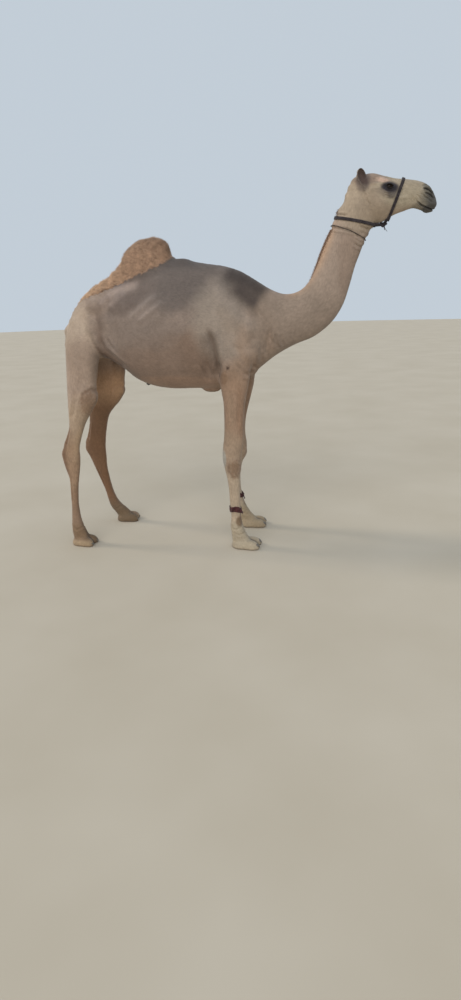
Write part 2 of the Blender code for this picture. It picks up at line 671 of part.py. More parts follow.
def camel():
    body = flesh()
    bm = bmesh.new()
    bm.from_mesh(body.data)
    skin = BVHTree.FromBMesh(bm)
    bm.free()
    straps = [
        band("halter_noseband", skin, (1.431, 0, 2.129), (0.944, 0, -0.332), 0.024, 0.0035, 24),
        band("halter_neck_strap", skin, (1.208, 0, 2.018), (0.212, 0, 0.977), 0.024, 0.0035, 28),
        band("neck_cord", skin, (1.165, 0, 1.958), (0.390, 0, 0.920), 2 * CORD_RADIUS,
             2 * CORD_RADIUS, 28),
        band("hobble_band_right", skin, (0.469, -0.204, 0.262), (-0.10, 0, 1.0), 0.040, 0.0045, 18, 0.12),
        band("hobble_band_left", skin, (0.424, 0.205, 0.262), (0.25, 0, 1.0), 0.034, 0.0045, 18, 0.12),
    ]
    pieces = parted(body)
    sunk = []
    for side, word in ((-1, "right"), (1, "left")):
        x, y, z = EYE_AT
        eye = ball("eye_" + word, (x, side * y, z), (EYE_RADIUS,) * 3, segments=14)
        sunk.append((pieces["head"], eye))
    feet = ("foreleg_right", "foreleg_left", "hindleg_right", "hindleg_left")
    for leg, (x, y, heading, size) in zip(feet, FEET):
        for toe, middle in zip(("a", "b"), nails(x, y, heading, size)):
            nail = ball("nail_" + leg + "_" + toe, middle, [size * half for half in NAIL_SIZE],
                        48, heading)
            sunk.append((pieces[leg + "_foot"], nail))
    sunk.append((pieces["trunk"], ball("breast_pad", PAD_AT, PAD_SIZE, segments=12)))
    sunk.append((pieces["trunk"], tail()))
    for host, piece in sunk:
        let_in(host, piece)
    for side, word in ((-1, "right"), (1, "left")):
        seat_on(pieces["head"], ear("ear_" + word, side))
    knot = ball("halter_knot", (1.366, 0, 1.997), (0.027, 0.018, 0.016))
    for neighbour in straps + [pieces["head"], pieces["jaw"], pieces["neck_upper"]]:
        let_in(knot, neighbour)


def centre_on_floor():
    """Moves the whole camel so that the origin lies on the floor, under its middle."""
    bpy.context.view_layer.update()
    corners = [thing.matrix_world @ Vector(corner)
               for thing in bpy.context.scene.objects for corner in thing.bound_box]
    for axis in (0, 1):
        places = [corner[axis] for corner in corners]
        for thing in bpy.context.scene.objects:
            thing.location[axis] -= (min(places) + max(places)) / 2


def finish():
    """Materials and smooth shading."""
    looks = {
        "eye": material("eye", (0.020, 0.012, 0.008), 0.08),
        "nail": material("horn", (0.100, 0.075, 0.055), 0.55),
        "breast": material("callus", (0.090, 0.065, 0.050), 0.85),
        "halter": material("halter webbing", (0.022, 0.014, 0.012), 0.80),
        "neck": material("cord", (0.040, 0.025, 0.020), 0.85),
        "hobble": material("hobble cloth", (0.090, 0.022, 0.020), 0.90),
    }
    for thing in bpy.context.scene.objects:
        word = thing.name.split("_")[0]
        worn = word in looks and thing.name not in ("neck_upper", "neck_lower")
        made = looks[word] if worn else material("coat " + thing.name, coat_colour(thing.name), 0.85)
        thing.data.materials.clear()
        thing.data.materials.append(made)
        thing.data.shade_smooth()
        thing.data.set_sharp_from_angle(angle=math.radians(50))


clear_scene()
camel()
finish()
centre_on_floor()
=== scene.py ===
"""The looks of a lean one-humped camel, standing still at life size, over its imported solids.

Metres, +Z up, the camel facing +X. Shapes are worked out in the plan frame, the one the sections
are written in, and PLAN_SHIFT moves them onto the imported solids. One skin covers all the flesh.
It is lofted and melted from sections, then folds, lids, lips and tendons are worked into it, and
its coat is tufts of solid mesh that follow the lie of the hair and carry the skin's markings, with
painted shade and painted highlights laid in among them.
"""
import json
import math

import bmesh
import bpy
import numpy as np
from mathutils import Matrix, Vector
from mathutils.bvhtree import BVHTree
from mathutils.geometry import convex_hull_2d

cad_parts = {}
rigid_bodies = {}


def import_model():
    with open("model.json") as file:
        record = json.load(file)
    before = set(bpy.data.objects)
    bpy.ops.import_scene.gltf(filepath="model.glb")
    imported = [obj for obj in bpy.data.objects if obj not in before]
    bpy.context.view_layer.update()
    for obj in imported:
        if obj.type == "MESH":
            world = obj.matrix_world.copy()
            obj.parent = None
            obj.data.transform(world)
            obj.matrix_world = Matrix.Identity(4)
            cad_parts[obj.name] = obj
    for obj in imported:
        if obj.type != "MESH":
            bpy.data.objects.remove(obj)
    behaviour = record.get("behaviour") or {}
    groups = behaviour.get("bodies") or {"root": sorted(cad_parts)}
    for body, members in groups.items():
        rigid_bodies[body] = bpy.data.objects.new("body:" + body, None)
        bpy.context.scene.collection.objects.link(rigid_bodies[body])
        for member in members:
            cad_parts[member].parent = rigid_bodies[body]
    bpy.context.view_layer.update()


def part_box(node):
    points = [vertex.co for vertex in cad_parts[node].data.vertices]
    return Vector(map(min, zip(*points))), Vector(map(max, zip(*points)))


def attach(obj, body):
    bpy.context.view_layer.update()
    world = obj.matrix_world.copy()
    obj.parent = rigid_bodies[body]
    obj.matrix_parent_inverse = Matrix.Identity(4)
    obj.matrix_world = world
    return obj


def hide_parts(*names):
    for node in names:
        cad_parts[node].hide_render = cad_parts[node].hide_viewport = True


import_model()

# ---- driving dimensions ----
VOXEL = 0.009           # grid on which the lofts and muscles melt into one skin
RING_SIDES = 32         # points round each lofted section
RINGS_BETWEEN = 4       # sections drawn between two stations
SMOOTHING = 6           # passes that soften the whole skin
BODY_SMOOTHING = 30     # more passes, for the joins of legs, neck and hump with the trunk
SKIN_KEPT = 0.43        # share of the skin's triangles left once its forms are worked in
SHORT_COAT = 0.0035     # depth of the short coat over the skin
WOOL_DEPTH = 0.030      # depth of the hump's wool over the skin
CROUP_WOOL = 0.014      # and of the croup's

EYE_RADIUS = 0.021
EYE_AT = (1.384, 0.0725, 2.186)
LID = 0.0026            # thickness of an eyelid
UPPER_LID, LOWER_LID = 0.50, 0.42    # how far the lids stand open, in eye radii
SLIT = 1.02             # half length of the open slit, in eye radii
LID_REACH = 0.036       # how far from an eye's middle the skin is worked finest
EAR_AT = (1.253, 0.064, 2.188)
EAR_LENGTH = 0.117
EAR_ROOT = 0.14         # share of its length below EAR_AT
EAR_RADIUS = 0.0285     # of the rolled leaf at its widest
EAR_SKIN = 0.005        # thickness of the leaf
EAR_TURN = 64           # degrees from straight ahead to where its mouth faces
PAD_AT = (0.303, 0.0, 1.046)
PAD_SIZE = (0.068, 0.050, 0.026)
NAIL_SIZE = (0.016, 0.018, 0.010)
NOSEBAND_NORMAL = (0.944, 0, -0.332)
STRAP_NORMAL = (0.212, 0, 0.977)
STRAP_SIZE = (0.019, 0.0038)         # width and thickness of the halter's straps
KNOT_AT = (1.366, 0, 1.997)
CORD_RADIUS = 0.0025
TAIL_END = 0.860        # height of the tip of the tail
SEED = 11


def metres(values):
    """Millimetres as metres."""
    return [round(value / 1000, 7) for value in values]


def stations(*rows):
    """Sections in metres, the y of their middle 0 where a row leaves it out."""
    return np.array([(metres(row) + [0.0])[:6] for row in rows])


# ---- sections, in millimetres ----
# Each station is one section: the two ends of its long side in the XZ plane (x, z, x, z), its
# half width and, for a leg, how far out its middle is. Trunk, neck, head, hump and tail run top
# to underside, and legs front to rear.
TRUNK = stations(
    (-672, 1410, -672, 1320, 45), (-645, 1485, -645, 1230, 105), (-580, 1596, -580, 1210, 160),
    (-500, 1680, -500, 1240, 190), (-400, 1728, -400, 1250, 205), (-290, 1755, -290, 1195, 222),
    (-190, 1775, -190, 1112, 243), (-80, 1805, -80, 1066, 262), (50, 1850, 50, 1046, 272),
    (180, 1846, 180, 1046, 266), (300, 1825, 300, 1048, 248), (410, 1808, 410, 1060, 222),
    (510, 1775, 510, 1085, 195), (590, 1730, 590, 1135, 160), (660, 1685, 660, 1215, 120),
)
NECK = stations(
    (500, 1760, 560, 1120, 150), (610, 1715, 640, 1180, 130), (700, 1662, 735, 1250, 108),
    (790, 1630, 855, 1315, 95), (872, 1645, 975, 1363, 88), (932, 1697, 1083, 1448, 82),
    (973, 1780, 1150, 1550, 76), (1004, 1862, 1186, 1660, 70), (1034, 1930, 1214, 1765, 66),
    (1064, 1990, 1243, 1845, 66), (1085, 2050, 1270, 1920, 69), (1115, 2130, 1302, 1978, 73),
    (1158, 2200, 1320, 2010, 74), (1215, 2240, 1335, 2050, 70),
)
HEAD = stations(
    (1180, 2236, 1240, 2050, 56), (1228, 2266, 1272, 2018, 76), (1290, 2276, 1315, 2002, 86),
    (1350, 2260, 1362, 2006, 91), (1415, 2243, 1418, 2038, 79), (1480, 2235, 1478, 2058, 62),
    (1540, 2226, 1532, 2072, 54), (1588, 2209, 1580, 2056, 52), (1624, 2178, 1616, 2046, 47),
    (1647, 2142, 1640, 2052, 38), (1661, 2112, 1656, 2072, 20),
)
HUMP = stations(
    (-330, 1785, -330, 1700, 50), (-268, 1838, -268, 1700, 80), (-218, 1930, -218, 1690, 105),
    (-130, 1985, -130, 1690, 125), (-45, 1998, -45, 1700, 130), (20, 1990, 20, 1720, 115),
    (62, 1960, 62, 1750, 85), (88, 1900, 88, 1790, 45),
)
TAIL = stations(
    (-545, 1610, -570, 1550, 30), (-600, 1585, -585, 1520, 33), (-652, 1500, -618, 1470, 30),
    (-692, 1400, -656, 1385, 27), (-702, 1270, -668, 1270, 25), (-706, 1130, -672, 1130, 25),
    (-712, 1000, -680, 1000, 24), (-716, 900, -690, 900, 18), (-714, 860, -702, 860, 8),
)
FORELEG_RIGHT = stations(
    (580, 1300, 400, 1300, 60, 135), (584, 1170, 368, 1170, 70, 152),
    (570, 1070, 384, 1070, 68, 165), (550, 975, 401, 975, 62, 173), (541, 880, 404, 880, 56, 180),
    (538, 770, 402, 780, 51, 188), (532, 700, 392, 690, 51, 194), (522, 630, 388, 620, 54, 199),
    (517, 565, 398, 555, 48, 201), (509, 490, 412, 490, 40, 202), (506, 400, 424, 400, 35, 203),
    (508, 290, 429, 290, 34, 204), (511, 210, 435, 210, 38, 205), (520, 155, 428, 155, 47, 206),
    (540, 100, 434, 100, 48, 207), (565, 60, 440, 50, 42, 208),
)
FORELEG_LEFT = stations(
    (580, 1300, 400, 1300, 60, 135), (582, 1170, 366, 1170, 70, 152),
    (572, 1070, 378, 1070, 68, 165), (548, 975, 388, 975, 62, 173), (521, 880, 384, 880, 56, 181),
    (504, 795, 370, 790, 51, 186), (499, 710, 358, 700, 51, 191), (508, 625, 366, 620, 54, 196),
    (502, 555, 380, 550, 48, 200), (477, 500, 380, 490, 40, 201), (457, 410, 376, 400, 35, 203),
    (456, 310, 378, 300, 34, 204), (468, 225, 394, 215, 38, 205), (488, 165, 400, 150, 47, 206),
    (522, 105, 420, 95, 48, 207), (560, 65, 436, 50, 42, 207),
)
HINDLEG_RIGHT = stations(
    (-420, 1560, -600, 1500, 60, 105), (-405, 1420, -632, 1390, 82, 120),
    (-408, 1310, -642, 1270, 88, 134), (-425, 1200, -648, 1150, 84, 146),
    (-440, 1100, -652, 1050, 76, 155), (-441, 1015, -655, 950, 68, 162),
    (-483, 925, -655, 880, 59, 168), (-535, 840, -660, 815, 50, 176),
    (-572, 740, -682, 750, 43, 186), (-590, 670, -708, 685, 40, 193),
    (-588, 610, -722, 622, 41, 200), (-594, 540, -704, 540, 38, 208),
    (-606, 470, -680, 465, 33, 216), (-616, 395, -677, 395, 30, 224),
    (-621, 290, -677, 290, 29, 235), (-614, 200, -684, 195, 33, 241),
    (-600, 140, -688, 130, 40, 245), (-582, 100, -688, 85, 42, 247), (-565, 60, -680, 50, 36, 250),
)
HINDLEG_LEFT = stations(
    (-410, 1560, -600, 1500, 60, 105), (-370, 1420, -632, 1390, 82, 120),
    (-345, 1290, -642, 1270, 88, 136), (-332, 1180, -650, 1150, 84, 148),
    (-348, 1090, -652, 1040, 76, 156), (-360, 1005, -648, 930, 68, 163),
    (-428, 910, -645, 850, 59, 170), (-492, 835, -656, 775, 50, 178),
    (-524, 735, -682, 690, 42, 188), (-541, 660, -708, 620, 40, 196),
    (-552, 590, -716, 570, 41, 203), (-556, 510, -692, 515, 38, 211),
    (-560, 430, -664, 425, 34, 221), (-553, 340, -634, 335, 31, 231),
    (-540, 255, -607, 245, 30, 238), (-520, 190, -592, 170, 34, 242),
    (-490, 138, -576, 112, 40, 245), (-450, 102, -550, 75, 42, 247), (-415, 65, -530, 45, 36, 250),
)
# Each part's sections, and the side that its y is on.
PARTS = {
    "trunk": (TRUNK, 1), "neck": (NECK, 1), "head": (HEAD, 1), "hump": (HUMP, 1),
    "tail": (TAIL, 1), "foreleg_right": (FORELEG_RIGHT, -1), "foreleg_left": (FORELEG_LEFT, 1),
    "hindleg_right": (HINDLEG_RIGHT, -1), "hindleg_left": (HINDLEG_LEFT, 1),
}
# How far up its section a part is widest, and the squareness above and below: 2 is an ellipse,
# more is boxier.
SHAPES = {
    "trunk": (0.46, 1.8, 2.3), "neck": (0.5, 2, 2), "head": (0.56, 2.3, 1.9),
    "hump": (0.12, 2.2, 2), "tail": (0.5, 2, 2), "leg": (0.5, 2.2, 2),
}
# Both toes of a foot, in metres: its middle on the sole, its heading in degrees and its size.
FEET = (
    (0.536, -0.208, -4, 1.00), (0.536, 0.207, 4, 1.00),
    (-0.606, -0.250, -6, 0.86), (-0.444, 0.250, 8, 0.84),
)

# ---- muscles, bones, folds, markings, painted shade and painted highlights, in millimetres ----
# Swells and, below 0, hollows: centre (x, y, z), reach (x, y, z), height, lean of the reach in
# the XZ plane in degrees. They are on both sides, unless a row ends in its side or lies on y 0.
SWELLS = (
    (430, 170, 1590, 90, 150, 230, 16, -20),  # shoulder blade
    (450, 200, 1260, 150, 120, 170, 20, 25),  # upper arm
    (600, 130, 1270, 80, 100, 110, 18, 0),  # point of the shoulder
    (570, 60, 1130, 90, 80, 110, 12, 0),  # breast muscle
    (320, 220, 1180, 50, 120, 150, -14, 8),  # behind the elbow
    (550, 140, 1500, 70, 120, 160, -14, 0),  # before the shoulder
    (-400, 190, 1600, 80, 100, 70, 26, -20),  # hip bone
    (-330, 220, 1430, 100, 120, 190, -26, 0),  # flank hollow
    (-470, 170, 1500, 90, 100, 90, -10, 30),  # below the hip
    (-540, 190, 1270, 110, 120, 220, 16, -12),  # thigh
    (-630, 90, 1440, 60, 70, 60, 16, 0),  # pin bone
    (-440, 180, 1000, 50, 90, 70, 8, 0),  # stifle
    (1372, 90, 2224, 60, 50, 26, 11, 12),  # brow
    (1395, 90, 2148, 80, 50, 26, 6, 10),  # cheek bone
    (1330, 85, 2090, 70, 60, 70, 8, -25),  # cheek
    (1450, 75, 2150, 60, 40, 50, -6, 10),  # before the cheek
    (1600, 45, 2160, 45, 35, 40, 8, 35),  # nostril wing
    (1625, 30, 2100, 40, 35, 30, 7, 20),  # upper lip
    (1530, 50, 2110, 30, 30, 20, -4, 0),  # corner of the mouth
)
# More of them, too small for the solids.
SMALL_SWELLS = (
    (1315, 70, 2226, 32, 45, 22, -6, 0),  # temple hollow
    (1345, 88, 2206, 20, 40, 16, 4, 30),  # outer end of the brow
    (1628, 20, 2090, 30, 40, 22, 4, 20),  # split upper lip
    (1604, 20, 2052, 26, 30, 14, 3, 0),  # hanging lower lip
    (1602, 42, 2176, 24, 24, 12, 4, 35),  # upper rim of the nostril
    (1606, 44, 2140, 20, 24, 10, 3, 40),  # lower rim
    (1064, 0, 2016, 34, 74, 34, 8, 0),  # roll of the nape
    (1194, 0, 2244, 42, 60, 36, 13, 0), (1172, 0, 2210, 34, 70, 40, 14, 0),  # poll
    (1122, 0, 2128, 34, 70, 50, -12, 0),  # nape under the poll
    (-340, 0, 1735, 90, 110, 75, 16, 0),  # behind the hump
    (-420, 0, 1695, 90, 110, 70, 6, 0),  # croup
    (150, 0, 1855, 80, 120, 60, 12, 10),  # back before the hump
    (1650, 22, 2088, 30, 36, 24, 5, 20),  # overhanging upper lip
    (1668, 0, 2085, 60, 7.5, 50, -6, 10),  # cleft of the upper lip
    (1308, 30, 1986, 22, 50, 16, 6, 0), (1288, 30, 1942, 24, 50, 20, 6, 0),  # rolls of the throat
    (1264, 30, 1896, 24, 50, 20, 4, 0),
    (-130, 0, 1078, 22, 16, 30, 20, 0),  # navel
    (452, 240, 660, 20, 40, 30, 5, 0), (485, 240, 600, 20, 40, 30, 4, 0),  # wrist bones
    (404, 200, 640, 14, 40, 55, 5, 0),
    (-700, 205, 640, 30, 40, 40, 5, 0), (-620, 230, 590, 26, 40, 30, 4, 0),  # hocks
    (448, 245, 170, 18, 40, 20, 5, 0), (-670, 280, 150, 18, 40, 20, 4, 0),  # fetlocks
)
# Bare pads of thick skin.
PADS = (
    (-482, 215, 985, 60, 80, 98, 6, 12, -1), (-400, 215, 975, 56, 80, 92, 5, 12, 1),  # stifles
    (478, 235, 556, 50, 70, 68, 5, -5, -1), (480, 235, 550, 40, 60, 58, 4.5, -5, 1),  # knees
    (412, 215, 1135, 34, 60, 44, 5, 20, -1, 1),  # elbows
    (303, 0, 1025, 80, 62, 30, 2, 0, -1, 1),  # breast
)
# Folds, furrows and ridges in the side view: side (0 for both), width, depth (below 0 a ridge),
# rise of its lips, and the (x, z) of the places along it.
FOLDS = (
    (0, 3.4, 11, 2.6, 1536, 2122, 1542, 2113, 1552, 2102, 1571, 2087, 1600, 2074, 1626, 2064,
     1672, 2062, 1740, 2055),  # mouth
    (0, 3.8, 11, 3.2, 1570, 2174, 1590, 2170, 1608, 2162, 1624, 2150, 1636, 2136),  # nostril
    (0, 4, 4, 1.6, 1562, 2192, 1590, 2188, 1612, 2177, 1630, 2160),
    (0, 3.6, 7, 2.2, 1580, 2150, 1602, 2143, 1622, 2132, 1642, 2116),
    (0, 4, 3.6, 1.4, 1574, 2132, 1596, 2122, 1620, 2106, 1636, 2090),
    (0, 4, 2.2, 0.8, 1556, 2150, 1578, 2136, 1598, 2116),  # lip folds
    (0, 4, 2.2, 0.8, 1538, 2144, 1556, 2128, 1572, 2108),
    (0, 4.5, 2.6, 1, 1512, 2142, 1520, 2128, 1522, 2112),
    (0, 3.5, 2, 0.8, 1600, 2064, 1585, 2060, 1566, 2066),  # chin
    (0, 4.5, 3, 2.2, 1350, 2232, 1372, 2238, 1398, 2230, 1420, 2214),
    (0, 3.5, 2.2, 1, 1346, 2166, 1360, 2153, 1382, 2148, 1404, 2154),
    (0, 3.5, 1.6, 0.8, 1352, 2150, 1370, 2138, 1392, 2137),
    (0, 6, 3, 1.5, 1250, 2165, 1258, 2130, 1275, 2095),  # jaw's edge
    (0, 7, 2.4, 1, 1268, 2190, 1290, 2196, 1318, 2194),
    (0, 11, -4, 0, 1395, 2134, 1440, 2128, 1500, 2128),  # face crest
    (0, 7, 5, 2.2, 1300, 1966, 1262, 1974, 1225, 1990),  # throat
    (0, 7, 5, 2.2, 1278, 1918, 1240, 1926, 1205, 1948),
    (0, 7, 4, 1.8, 1252, 1872, 1222, 1882, 1196, 1900),
    (0, 8, 6, 2, 1050, 2068, 1100, 2058, 1160, 2046),  # nape
    (0, 7.5, 5, 2, 1035, 1998, 1090, 1984, 1150, 1974, 1215, 1950),
    (0, 10, 5, 2, 703, 1440, 706, 1370, 724, 1310),  # neck's base
    (0, 10, 5, 2, 734, 1400, 740, 1330, 760, 1290),
    (0, 10, 3.5, 1.5, 770, 1390, 772, 1340, 790, 1305),
    (0, 11, 5.5, 2, 672, 1245, 680, 1308, 694, 1370, 690, 1430),
    (0, 11, 4, 1.5, 640, 1210, 648, 1270, 655, 1330),
    (0, 12, 6, 2.5, 535, 1166, 586, 1149, 625, 1160),  # chest
    (0, 10, 3.5, 1.5, 590, 1210, 612, 1180, 625, 1150),
    # behind elbow
    (0, 20, 10, 4, 330, 1450, 345, 1350, 366, 1272, 380, 1200, 372, 1156, 392, 1095),
    (0, 12, 4, 1.5, 300, 1250, 322, 1190, 330, 1130),
    (0, 12, 3, 1, 265, 1240, 285, 1180, 290, 1120),
    (0, 30, 8, 3, -392, 1680, -396, 1560, -394, 1487, -388, 1380),
    (0, 40, 10, 3, -330, 1640, -300, 1560, -250, 1500),  # loin's hollow
    (0, 17, 10, 5, -388, 1423, -376, 1364, -362, 1320, -328, 1288, -278, 1238, -215, 1190),  # flank
    (0, 14, 4, 2, -350, 1400, -325, 1350, -290, 1310),
    (0, 19, -7.5, 0, -310, 1560, -250, 1625, -190, 1668),
    (0, 15, -5.5, 0, -370, 1590, -330, 1625, -290, 1655),  # last ribs
    (0, 17, -9, 0, -180, 1480, -110, 1545, -50, 1590, 30, 1650),
    (0, 16, -7.5, 0, -120, 1470, -70, 1510, 10, 1562, 80, 1610),
    (0, 16, 14, 6, 345, 1430, 372, 1330, 381, 1250, 394, 1150),
    (0, 18, -3, 0, -30, 1440, 50, 1530, 110, 1640),
    (0, 20, -2.6, 0, 40, 1360, 120, 1470, 170, 1600),
    (0, 20, -2.4, 0, 110, 1300, 190, 1420, 235, 1560),
    (0, 20, -5, 0, 500, 1760, 440, 1640, 400, 1500),  # blade's spine
    (0, 20, 5, 2, 640, 1560, 620, 1440, 600, 1330), (0, 18, 5, 2, 470, 1360, 520, 1290, 560, 1210),
    (-1, 12, 5, 2, 452, 1080, 462, 960, 470, 840),  # forearms
    (-1, 12, 3, 1.5, 520, 1060, 512, 940, 500, 820), (1, 12, 5, 2, 446, 1080, 448, 960, 440, 840),
    (-1, 10, 4.5, 2, 438, 700, 440, 640, 434, 580),  # knees
    (1, 10, 4.5, 2, 400, 700, 412, 640, 412, 580),
    (-1, 7.5, 4.5, 2, 445, 500, 448, 400, 452, 300),  # tendons
    (1, 7.5, 4.5, 2, 408, 490, 400, 400, 404, 300),
    (-1, 24, 6, 3, -510, 1300, -500, 1180, -505, 1080),
    (1, 24, 6, 3, -470, 1300, -440, 1180, -440, 1080),
    (-1, 11, 9, 3, -645, 840, -662, 760, -682, 680),
    (1, 11, 9, 3, -640, 800, -660, 710, -680, 640),
    # round the stifles
    (-1, 8, 5, 3, -535, 965, -512, 1045, -460, 1075, -424, 1045, -430, 960, -488, 892, -530, 930),
    (1, 8, 5, 3, -450, 960, -425, 1040, -375, 1065, -345, 1020, -365, 945, -420, 890),
    (0, 14, 6, 3, -560, 1080, -575, 1000, -600, 920, -630, 860),
    (-1, 7, 4, 2, -655, 500, -655, 400, -658, 290), (1, 7, 4, 2, -640, 460, -618, 360, -590, 270),
    (0, 7, 3, 1.4, 430, 148, 470, 132, 520, 150),  # fetlocks
    (0, 7, 3.4, 1.6, 450, 108, 495, 94, 550, 112),
    (-1, 7, 3, 1.4, -680, 130, -640, 112, -590, 136),
    (1, 7, 3, 1.4, -570, 118, -525, 100, -470, 124),
)
# Above the first line (x, z) the long wool grows, and along the second the mane.
CLIP_LINE = (
    -680, 1450, -640, 1505, -595, 1560, -540, 1610, -490, 1634, -355, 1673, -251, 1714, -148, 1757,
    -48, 1790, 32, 1823, 70, 1850, 100, 1872,
)
MANE_LINE = (1056, 1990, 1015, 1905, 970, 1820, 925, 1745, 885, 1692, 800, 1635)
# Patches of the coat, one of them painted shade: strength, side, lean, colour, centre (x, z) and
# reach (x, z).
PATCHES = (
    (0.75, 0, 0, 122, 107, 97, 0, 1450, 620, 620),  # sides of the trunk
    (0.9, 0, 4, 98, 88, 82, 50, 1800, 740, 300),  # grey back
    # Painted shade in the hollow under the loin.
    (0.7, 0, -20, 104, 90, 82, -200, 1640, 260, 120),  # hollow under the loin
    (0.7, 0, 2, 86, 77, 72, 220, 1860, 420, 90),  # top line
    (0.7, 0, -4, 124, 102, 86, 120, 1220, 460, 250),  # brown barrel
    (0.6, 0, 10, 122, 100, 84, 270, 1300, 140, 220),
    (0.55, 0, 10, 122, 107, 96, -80, 1450, 260, 160),
    (0.76, 0, 0, 148, 121, 101, 80, 1085, 420, 85),  # belly
    (0.6, 0, -25, 146, 126, 110, -430, 1600, 200, 130),  # croup
    (0.85, 0, 0, 168, 149, 130, -580, 1420, 190, 280),  # rump
    (0.85, 0, 0, 150, 129, 112, -530, 1180, 180, 280),  # thigh
    (0.9, 0, 25, 152, 130, 107, -570, 820, 220, 250),  # second thigh
    (0.95, 0, 0, 144, 117, 92, -630, 500, 180, 340),  # hock and shank
    (0.8, 0, 0, 124, 98, 76, -630, 220, 180, 240),
    (0.95, 0, 0, 118, 95, 72, -580, 50, 300, 130),  # hind feet
    (0.7, 0, 0, 156, 134, 106, -560, 10, 320, 44),
    (0.8, 0, -15, 146, 132, 118, 430, 1470, 240, 300),  # shoulder
    (0.5, 0, 0, 150, 132, 116, 530, 1420, 140, 160),  # point of the shoulder
    (0.82, 0, 0, 157, 132, 111, 630, 1340, 160, 260),  # breast
    (0.8, 0, 0, 136, 112, 92, 550, 1150, 180, 150),
    (0.9, 0, 0, 141, 114, 92, 470, 920, 170, 320),  # forearm
    (0.45, 0, -4, 128, 99, 76, 530, 850, 40, 280),
    (0.85, 0, 0, 148, 126, 104, 450, 660, 140, 180),  # knee
    (0.95, 0, 0, 164, 145, 123, 450, 340, 160, 270),  # pale cannons
    (0.95, 0, 0, 158, 144, 122, 510, 60, 260, 160),  # fore feet
    (0.75, 1, 0, 148, 129, 102, 553, 79, 200, 120),
    (0.8, 0, 0, 100, 76, 52, 500, 190, 32, 44),  # brown at the fetlocks
    (0.8, -1, 0, 150, 146, 136, 404, 620, 22, 70),  # behind the knee
    (0.85, 0, -35, 129, 113, 99, 860, 1480, 420, 300),  # neck
    (0.85, 0, -15, 145, 127, 112, 1120, 1800, 220, 400),
    (0.5, 0, -12, 136, 115, 99, 1200, 1700, 100, 320),
    (0.95, 0, 0, 154, 137, 117, 1270, 2140, 260, 220),  # head
    (0.6, 0, -30, 143, 126, 107, 1310, 2070, 130, 110),
    (0.8, 0, -4, 128, 108, 94, 1300, 2250, 150, 50),  # forehead
    (0.95, 0, 10, 156, 143, 122, 1500, 2160, 220, 120),  # nose
    (0.7, 0, 8, 146, 132, 112, 1500, 2215, 140, 35),
    (0.8, 0, 10, 168, 144, 126, 1345, 2226, 52, 20),  # brow
    (0.7, 0, 18, 178, 150, 132, 1352, 2222, 46, 18),  # pale over the eye
    (0.8, 0, 8, 98, 88, 82, 1388, 2180, 64, 42),  # round the eye
    (0.85, 0, 35, 84, 76, 70, 1400, 2152, 32, 36),  # under the eye
    (1, 0, 4, 44, 40, 45, 1386, 2184, 60, 32), (0.6, 0, 30, 122, 108, 94, 1345, 2158, 50, 20),
    (0.9, 0, -8, 104, 99, 88, 1640, 2110, 105, 110),  # muzzle
    (1, 0, -8, 76, 73, 68, 1652, 2118, 70, 100), (0.85, 0, -35, 92, 88, 79, 1615, 2185, 54, 44),
    (0.95, 0, -22, 70, 67, 62, 1600, 2062, 52, 28),  # lower lip
    (0.7, 0, -22, 116, 107, 92, 1555, 2080, 60, 30),
    (0.72, 0, 0, 84, 72, 68, 1240, 2235, 50, 80),  # ears
    (1, 0, 0, 52, 44, 40, -135, 1075, 26, 26),  # navel
    (0.95, 0, 0, 66, 48, 40, 448, 1199, 14, 14),
)
